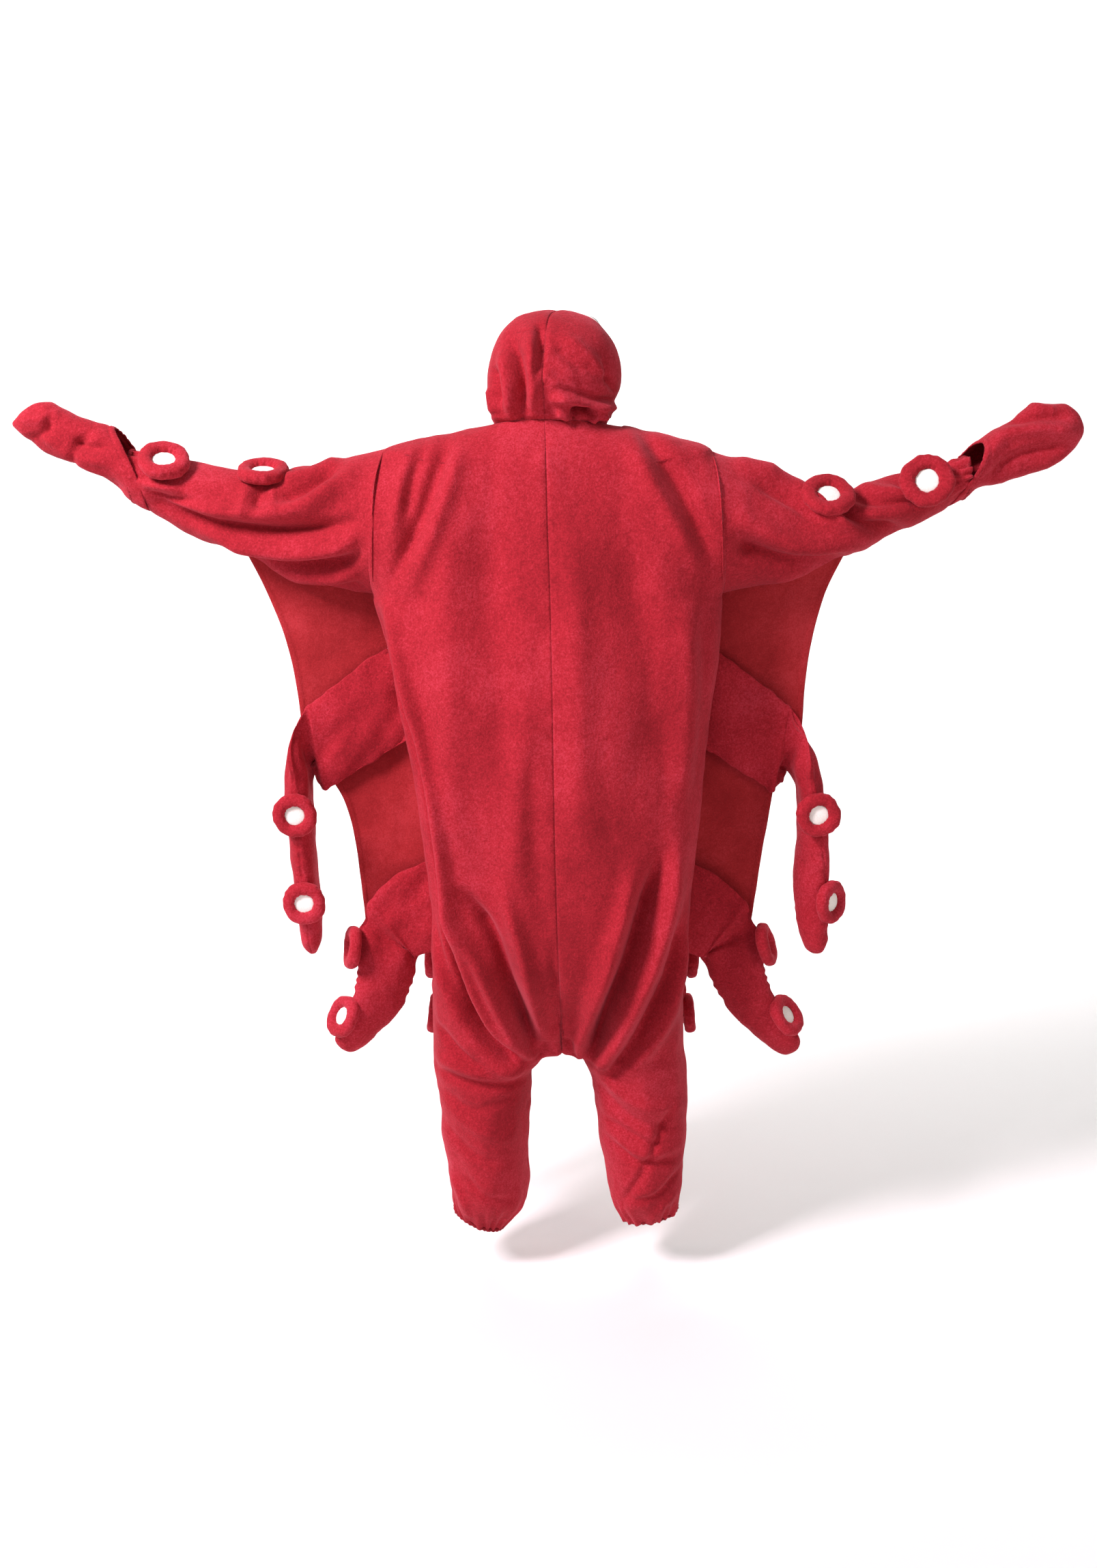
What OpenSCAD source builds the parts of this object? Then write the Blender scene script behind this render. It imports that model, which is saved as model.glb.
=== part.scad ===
// Hooded octopus costume: a fleece one-piece suit held up by its wearer's shoulders.
// +X is the wearer's right, +Y the wearer's front, +Z up. The origin is the middle of the neck seam.

/* [Cloth] */
// Thickness of the fleece panels
cloth_t = 4; // [3:0.5:6]
// Thickness of the web sheets
web_t = 3; // [2:0.5:5]
// Gap left between sewn neighbours
seam_gap = 1; // [0.4:0.1:2]
// Gap left between pieces that move against each other
move_gap = 7; // [5:1:10]

/* [Suit] */
// Half width of the neck opening
neck_w = 85; // [75:1:100]
// Half width of the suit at the armholes
chest_w = 286; // [238:1:344]
// Half width of the suit at the hips
hip_w = 220; // [190:2:250]
// How far the back hangs behind the side seams
back_d = 165; // [140:1:190]
// How far the front stands before the side seams
front_d = 140; // [125:1:160]
// Height of the armhole
armhole_h = 232; // [192:2:280]
// Half depth of the armhole
armhole_d = 88; // [80:1:100]
// Drop from the neck seam to the leg openings
leg_drop = 1040; // [866:2:1250]
// How far the suit leans to the right at the leg openings
lean = 22; // [0:1:30]

/* [Legs] */
// Length of the trouser leg below its opening
leg_len = 385; // [300:5:420]
// Distance of the leg's middle from the suit's middle
leg_x = 140; // [130:1:150]
// Half width of the leg at its widest
leg_w = 84; // [75:1:88]
// How far the leg opening stands outwards
leg_splay = 26; // [0:1:35]

/* [Sleeves] */
// Distance of the sleeve's wrist from the suit's middle
wrist_x = 678; // [600:2:740]
// Half height of the sleeve at the wrist
wrist_h = 46; // [40:1:52]
// Length of the mitt that covers the hand
mitt_len = 178; // [150:2:210]
// Rise of the sleeve's wrist above its root
sleeve_rise = 82; // [60:2:100]
// Rise of the mitt's tip above the wrist
mitt_rise = 68; // [50:2:80]

/* [Hood] */
// Half width of the hood
hood_w = 108; // [90:1:130]
// Height of the hood above the neck seam
hood_h = 174; // [160:1:200]
// How far the hood's back reaches behind the ears
hood_d = 188; // [175:1:200]

/* [Tentacles] */
// Width of a tentacle's sewn band at the suit
band_w = 150; // [120:2:170]
// Thickness of a sewn band
band_t = 20; // [14:1:24]
// Length of an upper tentacle below its bend
upper_len = 395; // [330:5:450]
// Length of a lower tentacle below its bend
lower_len = 250; // [220:5:300]
// Length of a front tentacle below its bend
front_len = 250; // [220:5:300]
// Half depth of a stuffed tentacle, towards its suckers
tent_d = 45; // [38:1:50]
// Half width of a stuffed tentacle, across its suckers
tent_w = 22; // [18:1:26]

/* [Suckers] */
// Outer radius of a sucker ring on a tentacle
ring_r = 38; // [32:1:44]
// Outer radius of a sucker ring on a sleeve
sleeve_ring_r = 47; // [40:1:52]
// Share of a ring's radius that its white disc takes
disc_share = 0.45; // [0.4:0.01:0.5]
// Height of a stuffed sucker ring
ring_h = 22; // [16:1:26]

/* [Front closure] */
// Length of the press-stud placket
placket_len = 600; // [500:10:640]
// Width of the placket strips
placket_w = 40; // [34:1:46]
// Thickness of each placket strip
placket_t = 4; // [3:0.5:5]
// Number of press studs
stud_count = 6; // [4:1:7]
// Radius of a stud's post
stud_r = 3; // [2.5:0.5:4]
// Radius of a stud's cap
cap_r = 8; // [7:0.5:10]

/* [Hidden] */
$fn = 48;
L = -1; // the wearer's left side
R = 1;  // the wearer's right side
fleece = "crimson";
fleece_dark = "firebrick";
felt_white = "ivory";
panel_cols = 8;
tube_cols = 20;

// ---------- small helpers ----------
function mix(a, b, t) = a + (b - a) * t;
function clamp01(t) = min(1, max(0, t));
function unit(v) = v / max(norm(v), 1e-6);
// The value at x on a line through [x, value] knots.
function along(knots, x) =
    let (n = len(knots),
         i = max([0, for (k = [0:n - 2]) if (x >= knots[k][0]) k]),
         t = clamp01((x - knots[i][0]) / (knots[i + 1][0] - knots[i][0])))
    mix(knots[i][1], knots[i + 1][1], t);

// A solid sheet of thickness t behind a grid of points.
module sheet(grid, t, flip = false) {
    n = len(grid);
    m = len(grid[0]);
    function normal(i, j) =
        let (a = grid[min(n - 1, i + 1)][j] - grid[max(0, i - 1)][j],
             b = grid[i][min(m - 1, j + 1)] - grid[i][max(0, j - 1)])
        unit(cross(b, a)) * (flip ? -1 : 1);
    back = [for (i = [0:n - 1]) [for (j = [0:m - 1]) grid[i][j] + t * normal(i, j)]];
    solid_between(grid, back, false, flip);
}

// The solid between an outer grid and an inner grid of the same size.
module solid_between(outer, inner, closed = false, flip = false) {
    n = len(outer);
    m = len(outer[0]);
    last = closed ? m - 1 : m - 2;
    function o(i, j) = i * m + j % m;
    function b(i, j) = n * m + o(i, j);
    function quad(p, q, r, s) = flip ? [[p, r, q], [p, s, r]] : [[p, q, r], [p, r, s]];
    faces = concat(
        [for (i = [0:n - 2]) for (j = [0:last])
            for (f = quad(o(i, j), o(i, j + 1), o(i + 1, j + 1), o(i + 1, j))) f],
        [for (i = [0:n - 2]) for (j = [0:last])
            for (f = quad(b(i, j), b(i + 1, j), b(i + 1, j + 1), b(i, j + 1))) f],
        [for (j = [0:last]) for (f = quad(o(0, j + 1), o(0, j), b(0, j), b(0, j + 1))) f],
        [for (j = [0:last])
            for (f = quad(o(n - 1, j), o(n - 1, j + 1), b(n - 1, j + 1), b(n - 1, j))) f],
        closed ? [] : [for (i = [0:n - 2])
            for (f = quad(o(i, 0), o(i + 1, 0), b(i + 1, 0), b(i, 0))) f],
        closed ? [] : [for (i = [0:n - 2])
            for (f = quad(o(i + 1, m - 1), o(i, m - 1), b(i, m - 1), b(i + 1, m - 1))) f]);
    points = [for (g = [outer, inner]) for (row = g) for (p = row) p];
    polyhedron(points, faces, convexity = 6);
}

// A solid body skinned over closed rings, with flat ends.
module skin(rings, flip = false) {
    n = len(rings);
    m = len(rings[0]);
    function o(i, j) = i * m + j % m;
    function tri(p, q, r) = flip ? [p, r, q] : [p, q, r];
    faces = concat(
        [for (i = [0:n - 2]) for (j = [0:m - 1])
            for (f = [tri(o(i, j), o(i, j + 1), o(i + 1, j + 1)),
                      tri(o(i, j), o(i + 1, j + 1), o(i + 1, j))]) f],
        [for (j = [1:m - 2]) tri(0, j + 1, j)],
        [for (j = [1:m - 2]) tri(o(n - 1, 0), o(n - 1, j), o(n - 1, j + 1))]);
    polyhedron([for (ring = rings) for (p = ring) p], faces, convexity = 6);
}

// ---------- suit ----------
// Height of each row at the sides, as [side, back centre, front centre], with its half width and depths.
armhole_top = -44;
armhole_low = armhole_top - armhole_h;
shoulder_rows = 4;
yoke = [for (i = [0:shoulder_rows])
    let (t = i / shoulder_rows)
    [mix(0, armhole_top, pow(t, 1.5)), mix(8, -62, t), mix(-36, -86, t),
     mix(neck_w, chest_w - 16, pow(t, 0.9)), mix(62, 106, pow(t, 0.7)), mix(78, 118, pow(t, 0.7))]];
sleeve_levels = 7; // closer together at the armhole's ends, where its outline turns fastest
arm_rows = [for (i = [1:sleeve_levels])
    let (t = (1 - cos(180 * i / sleeve_levels)) / 2, z = mix(armhole_top, armhole_low, t), e = pow(1 - t, 2))
    [z, z - 18 * e, z - 42 * e,
     mix(chest_w - 16, chest_w + 3, t), mix(106, 143, pow(t, 0.6)), mix(118, front_d, pow(min(1, 2 * t), 0.8))]];
skirt_levels = 9;
skirt_rows = [for (i = [1:skirt_levels])
    let (t = i / skirt_levels, z = mix(armhole_low, -leg_drop, t))
    [z, z, z,
     mix(hip_w, chest_w, pow(1 - t, 1.7)), mix(143, back_d, sin(150 * t)) - 22 * pow(t, 6), front_d]];
rows = concat(yoke, arm_rows, skirt_rows);
front_flat = 0.6; // under 1 squares the section's front and back

function shift(z) = lean * min(1, max(0, -z / leg_drop));
// Half depth of the armhole at a height, 0 above and below it.
function arm_gap(z) =
    let (t = (armhole_top - z) / armhole_h)
    (t <= 0 || t >= 1) ? 0 : armhole_d * pow(sin(180 * t), 0.5);
// A point of the suit: side -1 or 1, face -1 for the back or 1 for the front, s from the middle to the side.
function suit_point(side, face, s, i) =
    let (row = rows[i],
         deep = face < 0 ? row[4] : row[5],
         low = face < 0 ? row[1] : row[2],
         gap = arm_gap(row[0]),
         last = gap > 0 ? acos(pow(gap / deep, 1 / front_flat)) : 90,
         a = last * s,
         z = mix(row[0], low, pow(cos(a), 1.5)),
         x = row[3] * sin(a) / sin(last))
    [side * x + shift(z), face * deep * pow(cos(a), front_flat), z];
function panel_grid(side, face) =
    [for (i = [0:len(rows) - 1]) [for (j = [0:panel_cols]) suit_point(side, face, j / panel_cols, i)]];
// The inner wall is drawn in towards the suit's middle, so that panels meet face to face at every seam.
function panel_inside(side, face) =
    [for (i = [0:len(rows) - 1]) [for (j = [0:panel_cols])
        let (p = suit_point(side, face, j / panel_cols, i),
             mid = [shift(p[2]), 0, p[2]],
             out = [p[0] - mid[0], p[1], 0],
             lift = i < shoulder_rows ? 1 - i / shoulder_rows : 0)
        p - unit(out) * cloth_t * (1 - 0.5 * lift) - [0, 0, cloth_t * (i <= shoulder_rows + 1 ? 1 : 0)]]];

module suit_panel(side, face) {
    color(fleece) solid_between(panel_grid(side, face), panel_inside(side, face), false, side * face > 0);
}

gusset_w = 30;
gusset_sag = 30;
module crotch_gusset() {
    seat = rows[len(rows) - 1][4] - cloth_t / 2;
    belly = front_d - cloth_t / 2;
    arc = [for (k = [0:12])
        let (y = mix(-seat, belly, k / 12))
        [y, -leg_drop - gusset_sag * sin(180 * k / 12)]];
    color(fleece) translate([lean - gusset_w, 0, 0]) rotate([90, 0, 90])
        linear_extrude(2 * gusset_w)
            polygon(concat(arc, [for (k = [12:-1:0]) arc[k] - [0, cloth_t]]));
}

neck_band_h = 9;
module neck_band() {
    grid = [for (up = [0, 1]) [for (j = [0:4 * panel_cols - 1])
        let (q = floor(j / panel_cols),
             s = (j % panel_cols) / panel_cols,
             side = q < 2 ? R : L,
             face = (q == 0 || q == 3) ? -1 : 1,
             p = suit_point(side, face, (q % 2 == 0) ? s : 1 - s, 0))
        [p[0], p[1], p[2] + seam_gap / 2 + neck_band_h * up]]];
    color(fleece_dark) solid_between(grid,
        [for (row = grid) [for (p = row) p - unit([p[0], p[1], 0]) * cloth_t * 0.75]], true, true);
}

// ---------- placket ----------
placket_top = -150;
placket_y = front_d + 0.4;
placket_x = shift(placket_top - placket_len / 2);
stud_margin = 30; // from the placket's ends to the first and last studs
stud_pitch = (placket_len - 2 * stud_margin) / (stud_count - 1);
stud_inset = 6;   // of the row of studs from the strips' middle
stud_h = 2.4;     // how far a post stands into its cap
foot_r = stud_r + 2;
foot_h = 1.5;
neck_r = stud_r + 1.6; // the cap's neck, which goes through the flap
cap_h = 2;
fit = 0.25;

module strip(y0) {
    translate([placket_x - placket_w / 2, y0, placket_top - placket_len])
        cube([placket_w, placket_t, placket_len]);
}

module at_studs(y) {
    for (k = [0:stud_count - 1])
        translate([placket_x + stud_inset, y, placket_top - stud_margin - k * stud_pitch])
            rotate([-90, 0, 0]) children();
}

module placket_base() {
    color(fleece) difference() {
        strip(placket_y);
        at_studs(placket_y + placket_t - foot_h) cylinder(r = foot_r, h = 2 * foot_h);
    }
}

module snap_studs() {
    color("silver") at_studs(placket_y + placket_t - foot_h) {
        cylinder(r = foot_r, h = foot_h);
        translate([0, 0, foot_h]) cylinder(r = stud_r, h = fit + stud_h);
    }
}

flap_y = placket_y + placket_t + fit;
module placket_flap() {
    color(fleece) difference() {
        strip(flap_y);
        at_studs(flap_y - 1) cylinder(r = neck_r, h = placket_t + 2);
    }
}

module snap_caps() {
    color("silver") at_studs(flap_y) difference() {
        union() {
            cylinder(r = neck_r, h = placket_t);
            translate([0, 0, placket_t]) cylinder(r1 = cap_r, r2 = cap_r - 1.5, h = cap_h);
        }
        translate([0, 0, -1]) cylinder(r = stud_r + 0.5, h = stud_h + 1.6);
    }
}

// ---------- hood ----------
// The hood is a fan of arches that all start on its centre seam and end at the throat.
hood_rows = 12;
hood_cols = 12;
hood_gap = 11;     // between the suit's neck edge and the hood's
throat_split = 10; // the arches stop this many degrees short of the throat
hood_mid = [0, 20, 62];
hood_shift = [4, 12]; // drift of the centre seam to the right, at the neck and at the crown
// Angle and reach of the centre seam about the hood's middle, from the nape to the forehead.
nape_angle = 205;
brow_angle = 62;
function seam_reach(a) = along([[brow_angle, hood_h - 52], [90, hood_h - hood_mid[2]], [135, hood_d - 66],
                                [180, hood_d - 70], [nape_angle, 100]], a);
function seam_point(v, thin) =
    let (a = mix(nape_angle, brow_angle, v), r = seam_reach(a) - thin)
    [hood_mid[1] + r * cos(a), hood_mid[2] + r * sin(a)];
function throat_point(v, thin) = [mix(82, 94, v) - thin, mix(-36 + hood_gap, 2, v) + thin * 0.3];
function hood_half(v) = along([[0, neck_w + 4], [0.35, hood_w], [0.7, hood_w], [1, hood_w - 8]], v);
function hood_point(side, s, v, thin) =
    let (c = seam_point(v, thin), t = throat_point(v, thin), a = (180 - throat_split) * s,
         mid = (c + t) / 2, arm = (c - t) / 2,
         lift = 24 * sin(a) * pow(1 - v, 2))
    [side * (hood_half(v) - thin) * sin(a) + mix(hood_shift[0], hood_shift[1], clamp01(2 * v)),
     mid[0] + arm[0] * cos(a), mid[1] + arm[1] * cos(a) + lift];
function hood_grid(side, thin) =
    [for (i = [0:hood_rows]) [for (j = [0:hood_cols]) hood_point(side, j / hood_cols, i / hood_rows, thin)]];

module hood_half_panel(side) {
    color(fleece) solid_between(hood_grid(side, 0), hood_grid(side, cloth_t), false, side > 0);
}

// A soft binding along the edge of the face opening.
facing_r = 6;
module hood_facing() {
    edge = concat([for (j = [hood_cols:-1:1]) hood_point(L, j / hood_cols, 1, cloth_t / 2)],
                  [for (j = [0:hood_cols]) hood_point(R, j / hood_cols, 1, cloth_t / 2)]);
    forward = [0, cos(brow_angle - 78), sin(brow_angle - 78)];
    color(fleece_dark) skin([for (p = edge)
        let (out = unit([p[0], 0, p[2] - 80]))
        [for (k = [0:7]) p + forward * (facing_r + 2) + facing_r * (cos(45 * k) * forward + sin(45 * k) * out)]],
        true);
}

// Places a child on the hood, facing straight out of it.
eye_r = 24;
eye_place = [0.135, 0.86]; // share of the way from the crown to the throat, and from the nape to the brow
module at_eyes(out) {
    for (side = [L, R]) {
        p = hood_point(side, eye_place[0], eye_place[1], 0);
        across = hood_point(side, eye_place[0] + 0.02, eye_place[1], 0) - p;
        ahead = hood_point(side, eye_place[0], eye_place[1] + 0.02, 0) - p;
        n = unit(cross(across, ahead)) * side;
        translate(p + n * out) rotate([0, acos(n[2]), atan2(n[1], n[0])]) children();
    }
}

eye_seat = 3; // lets the flat disc clear the curve of the hood
felt_t = 3;
module eye_whites() {
    color(felt_white) at_eyes(eye_seat) cylinder(r = eye_r, h = felt_t);
}

module eye_pupils() {
    color("black") at_eyes(eye_seat + felt_t) cylinder(r = eye_r * 0.5, h = felt_t);
}

// ---------- sleeves ----------
sleeve_root_x = chest_w + 10;
root_h = armhole_h / 2 - move_gap - 3;
root_d = armhole_d - move_gap - 4;
root_z = armhole_top - armhole_h / 2;
sleeve_rows = 8;
// Middle height, half height and half depth of the sleeve at a share t of its length.
function sleeve_mid(t) = root_z + sleeve_rise * pow(max(0, t), 2.1);
function sleeve_h(t) = mix(root_h, wrist_h, pow(t, 0.72));
function sleeve_d(t) = mix(root_d, wrist_h - 4, pow(t, 0.6));
function sleeve_ring(side, t, thin) =
    let (x = mix(sleeve_root_x, wrist_x, t),
         slope = atan((sleeve_mid(t + 0.02) - sleeve_mid(t - 0.02)) / (0.04 * (wrist_x - sleeve_root_x))))
    [for (j = [0:tube_cols - 1])
        let (a = 360 * j / tube_cols, up = (sleeve_h(t) - thin) * cos(a))
        [side * (x - up * sin(slope) * t), (sleeve_d(t) - thin) * sin(a), sleeve_mid(t) + up]];

module sleeve(side) {
    color(fleece) solid_between(
        [for (i = [0:sleeve_rows]) sleeve_ring(side, i / sleeve_rows, 0)],
        [for (i = [0:sleeve_rows]) sleeve_ring(side, i / sleeve_rows, cloth_t)], true, side < 0);
}

// The gathered elastic that closes the sleeve round the wrist.
wrist_z = sleeve_mid(1);
wrist_tilt = 22; // the wrist's opening leans back from upright by this
module wrist_elastic(side) {
    color(fleece_dark) translate([side * (wrist_x + 4), 0, wrist_z]) rotate([0, side * (90 - wrist_tilt), 0])
        rotate_extrude() translate([wrist_h - 12, 0]) circle(r = 4);
}

// The mitt is a closed pocket, open only towards the sleeve.
mitt_gap = 18;
mitt_x = wrist_x + mitt_gap;
mitt_rows = 6;
function mitt_half(t) = (wrist_h + 2 - 5 * t) * pow(max(0, 1 - pow(t, 5)), 0.5);
function mitt_ring(side, t, thin) =
    let (x = mitt_x + mitt_len * t,
         h = max(6, mitt_half(t)) - thin * (1 - 0.4 * t),
         mid = wrist_z + mitt_rise * sin(90 * t))
    [for (j = [0:tube_cols - 1])
        let (a = 360 * j / tube_cols)
        [side * (x - h * cos(a) * sin(wrist_tilt)), 0.62 * h * sin(a), mid + h * cos(a)]];
module mitt(side) {
    outer = [for (i = [0:mitt_rows]) mitt_ring(side, i / mitt_rows, 0)];
    inner = [for (i = [0:mitt_rows]) mitt_ring(side, mix(-0.1, 0.96, i / mitt_rows), cloth_t)];
    color(fleece) difference() {
        skin(outer, side < 0);
        skin(inner, side < 0);
    }
}

// Each sucker's share of the sleeve's length, and its turn from straight up towards the back.
sleeve_lift = 7; // clears the dip in the sleeve's top edge
function sleeve_suckers(side) = side < 0 ? [[0.86, 36], [0.44, 20]] : [[0.85, 72], [0.41, 42]];
module at_sleeve_suckers(side) {
    for (sucker = sleeve_suckers(side)) {
        t = sucker[0];
        turn = sucker[1];
        x = mix(sleeve_root_x, wrist_x, t);
        // The sleeve thins towards the wrist, so the sucker leans with its surface.
        slope = atan((sleeve_mid(t + 0.1) - sleeve_mid(t - 0.1) + (sleeve_h(t + 0.1) - sleeve_h(t - 0.1)) * cos(turn))
            / (0.2 * (wrist_x - sleeve_root_x)));
        translate([side * x, -sleeve_d(t) * sin(turn), sleeve_mid(t) + sleeve_h(t) * cos(turn)])
            rotate([turn, 0, 0]) rotate([0, -side * slope * cos(turn), 0])
                translate([0, 0, sleeve_lift]) children();
    }
}

// ---------- legs ----------
leg_tuck = 6; // the leg's top edge stands this far up into the suit
leg_top_z = -leg_drop + leg_tuck;
leg_reach = leg_len - 2 * leg_tuck;
leg_rows = 7;
leg_top_w = leg_w - 13;
calf_w = leg_w - 14;
cuff_w = 48;
elastic_r = 6;
function leg_half(t) = along([[0, leg_top_w], [0.35, leg_w], [0.85, calf_w], [1, cuff_w + elastic_r]], t);
function leg_ring(side, t, thin) =
    let (z = leg_top_z - leg_reach * t,
         w = leg_half(t) - thin,
         mid = leg_x + leg_splay * pow(t, 2) + (leg_w - leg_top_w) * 0.2 * (1 - t))
    [for (j = [0:tube_cols - 1])
        let (a = 360 * j / tube_cols)
        [side * mid + lean + w * sin(a), w * cos(a), z]];

module leg(side) {
    color(fleece) solid_between(
        [for (i = [0:leg_rows]) leg_ring(side, i / leg_rows, 0)],
        [for (i = [0:leg_rows]) leg_ring(side, i / leg_rows, cloth_t)], true, true);
}

module ankle_elastic(side) {
    color(fleece_dark) translate([side * (leg_x + leg_splay) + lean, 0, leg_top_z - leg_reach - elastic_r - 0.5])
        rotate_extrude() translate([cuff_w + 2, 0]) circle(r = elastic_r);
}

// ---------- webs and sewn bands ----------
web_y = 22;
// The suit's side seam at a height, where webs and bands are sewn on.
function side_x(z) = along([for (i = [len(rows) - 1:-1:shoulder_rows]) [rows[i][0], rows[i][3]]], z) + seam_gap;
// Outer corners of the sewn bands, from the suit's middle: where the top edge ends, the bend, the low corner.
upper_tip = [412, -470];
upper_bend = [426, -500];
upper_low = [390, -610];
lower_tip = [332, -820];
lower_bend = [348, -855];
lower_low = [303, -902];
band_root_upper = -366;
band_root_lower = -745;

// Points of a sagging web edge between two corners.
function sag_edge(a, b, sag, n = 8) =
    let (d = b - a, side_way = unit([d[1], -d[0]]))
    [for (k = [0:n]) a + d * k / n + side_way * sag * sin(180 * k / n)];
function root_edge(top, low, n = 4) = [for (k = [0:n]) let (z = mix(top, low, k / n)) [side_x(z), z]];

// A flat shape on one side of the suit, standing on its side seam and following its lean.
module on_side(side, y, t) {
    translate([0, y + t, 0]) rotate([90, 0, 0]) linear_extrude(t) children();
}
function placed(side, pts) = [for (p = pts) [side * p[0] + shift(p[1]), p[1]]];

module web_upper(side) {
    under = [for (k = [0:6])
        let (t = 0.58 * (6 - k) / 6)
        [mix(sleeve_root_x, wrist_x, t), sleeve_mid(t) - sleeve_h(t) - 3]];
    edge = sag_edge(under[0], upper_bend, 34);
    root = root_edge(band_root_upper - 20, armhole_low - 4);
    color(fleece_dark) on_side(side, web_y, web_t)
        polygon(placed(side, concat([for (k = [len(edge) - 1:-1:0]) edge[k]], under, [for (k = [4:-1:0]) root[k]])));
}

module web_lower() {
    for (side = [L, R]) {
        edge = sag_edge(upper_low, lower_bend, 18);
        top = [[side_x(-500), -500]];
        root = root_edge(-520, band_root_lower - 10, 5);
        color(fleece_dark) on_side(side, web_y, web_t)
            polygon(placed(side, concat(top, edge, [lower_bend - [14, 20]],
                                        [for (k = [5:-1:0]) root[k]])));
    }
}

module web_front() {
    for (side = [L, R]) {
        grid = [for (i = [0:4]) [for (j = [0:6])
            let (u = j / 6, v = i / 4,
                 top = [mix(side_x(-830) + 3, 205, u), mix(web_y + web_t + 1, front_d + 24, u), -830],
                 low = [mix(lower_low[0] - 18, 232, u), mix(web_y + web_t + 1, front_d + 30, u),
                        -890 - 55 * u + 30 * sin(180 * u)],
                 bow = 22 * sin(180 * u) * (1 - 0.4 * v),
                 p = mix(top, low, v))
            [side * (p[0] + bow) + shift(p[2]), p[1], p[2]]]];
        color(fleece_dark) sheet(grid, web_t, side < 0);
    }
}

module band(side, root_top, corners, w) {
    root = root_edge(root_top, root_top - w, 4);
    color(fleece) on_side(side, web_y - seam_gap - band_t, band_t)
        polygon(placed(side, concat([root[0]], corners, [for (k = [4:-1:1]) root[k]])));
}
module bands_upper() {
    for (side = [L, R]) band(side, band_root_upper, [upper_tip, upper_bend, upper_low], band_w + 14);
}
module bands_lower() {
    for (side = [L, R]) band(side, band_root_lower, [lower_tip, lower_bend, lower_low], band_w);
}
front_root_x = 96;
front_bend_x = 205;
front_band_y = front_d + 2;
module bands_front() {
    for (side = [L, R]) {
        shape = [[front_root_x, -770], [front_bend_x + 6, -868], [front_bend_x + 14, -905],
                 [front_bend_x - 52, -950], [front_root_x, -900]];
        color(fleece) on_side(side, front_band_y, band_t) polygon(placed(side, shape));
    }
}

// ---------- hanging tentacles ----------
// Each tentacle: where it starts, from the suit's middle, its length, how far its tip leans out, how far it
// bows in halfway, and where its suckers face at its root and tip: 0 is the back, 90 is outwards.
front_y = front_band_y + band_t / 2 + 12;
function tentacle(name) =
    name == "upper_left" ? [443, 8, -534, upper_len, 4, 0, 0, 0] :
    name == "upper_right" ? [445, 8, -534, upper_len, 34, -18, 0, 78] :
    name == "lower_left" ? [282, 8, -914, lower_len - 48, 128, 48, 90, 70] :
    name == "lower_right" ? [288, 8, -914, lower_len - 48, 140, 60, 90, 76] :
    name == "front_left" ? [208, front_y, -958, front_len - 40, 18, 20, 90, 90] :
    [214, front_y, -958, front_len - 40, 34, 20, 90, 90];
function is_left(name) = name == "upper_left" || name == "lower_left" || name == "front_left";
function turn_at(d, t) = mix(d[6], d[7], t);
tent_rows = 9;
tent_cols = 14;
// A point on the tentacle's middle line at a share t of its length, before it is put on its side.
function tent_mid(d, t) = [d[0] + d[4] * t + d[5] * sin(180 * t) * -0.5, d[1], d[2] - d[3] * t];
function tent_size(t) = (t < 0.75 ? mix(1.1, 0.72, t / 0.75) : 0.72 * pow(max(0, 1 - pow((t - 0.75) / 0.25, 2.2)), 0.5));
function tent_ring(d, side, t, thin) =
    let (k = max(0.12, tent_size(t)), m = tent_mid(d, t),
         deep = max(2, tent_d * k - thin), wide = max(2, tent_w * pow(k, 0.6) - thin),
         turn = turn_at(d, clamp01(t)))
    [for (j = [0:tent_cols - 1])
        let (a = 360 * j / tent_cols, u = deep * cos(a), w = wide * sin(a),
             x = u * sin(turn) - w * cos(turn), y = -u * cos(turn) - w * sin(turn))
        [side * (m[0] + x) + shift(m[2]), m[1] + y, m[2]]];
function tent_side(name) = is_left(name) ? L : R;

module tentacle_cover(name) {
    d = tentacle(name);
    side = tent_side(name);
    color(fleece) difference() {
        skin([for (i = [0:tent_rows]) tent_ring(d, side, i / tent_rows, 0)], side > 0);
        tentacle_core(d, side, -0.02, cloth_t);
    }
}

module tentacle_core(d, side, start, thin) {
    skin([for (i = [0:tent_rows]) tent_ring(d, side, mix(start, 0.965, i / tent_rows), thin)], side > 0);
}

module tentacle_fill(name) {
    color("white") tentacle_core(tentacle(name), tent_side(name), 0.005, cloth_t + 0.6);
}

// Where a tentacle's suckers sit, as shares of its length; a lower one starts at its bend.
function tent_suckers(name) = name == "lower_left" || name == "lower_right" ? [0.07, 0.64] : [0.31, 0.75];
sucker_lift = 7; // between a cover and the sucker sewn on it
// Places a sucker on a tentacle's narrow edge, its back on the cover.
module on_tentacle(name, t) {
    d = tentacle(name);
    side = tent_side(name);
    m = tent_mid(d, t);
    below = tent_mid(d, t + 0.05) - tent_mid(d, t - 0.05);
    slope = atan2(below[0], -below[2]);
    turn = turn_at(d, t);
    translate([side * m[0] + shift(m[2]), m[1], m[2]])
        rotate([0, -side * slope, 0]) rotate([0, 0, side * turn]) rotate([90, 0, 0])
            translate([0, 0, tent_d * tent_size(t) + sucker_lift]) children();
}

// ---------- suckers ----------
module sucker_ring(r) {
    hole = r * disc_share;
    fat = (r - hole) / 2;
    color(fleece) rotate_extrude() {
        translate([hole + fat, ring_h / 2]) circle(r = min(fat, ring_h / 2) - 0.2);
        translate([hole + 2.4, 0]) square([r - hole - 5, ring_h / 2]);
    }
}
module sucker_disc(r) {
    color(felt_white) cylinder(r = r * disc_share + 1, h = felt_t);
}

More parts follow.
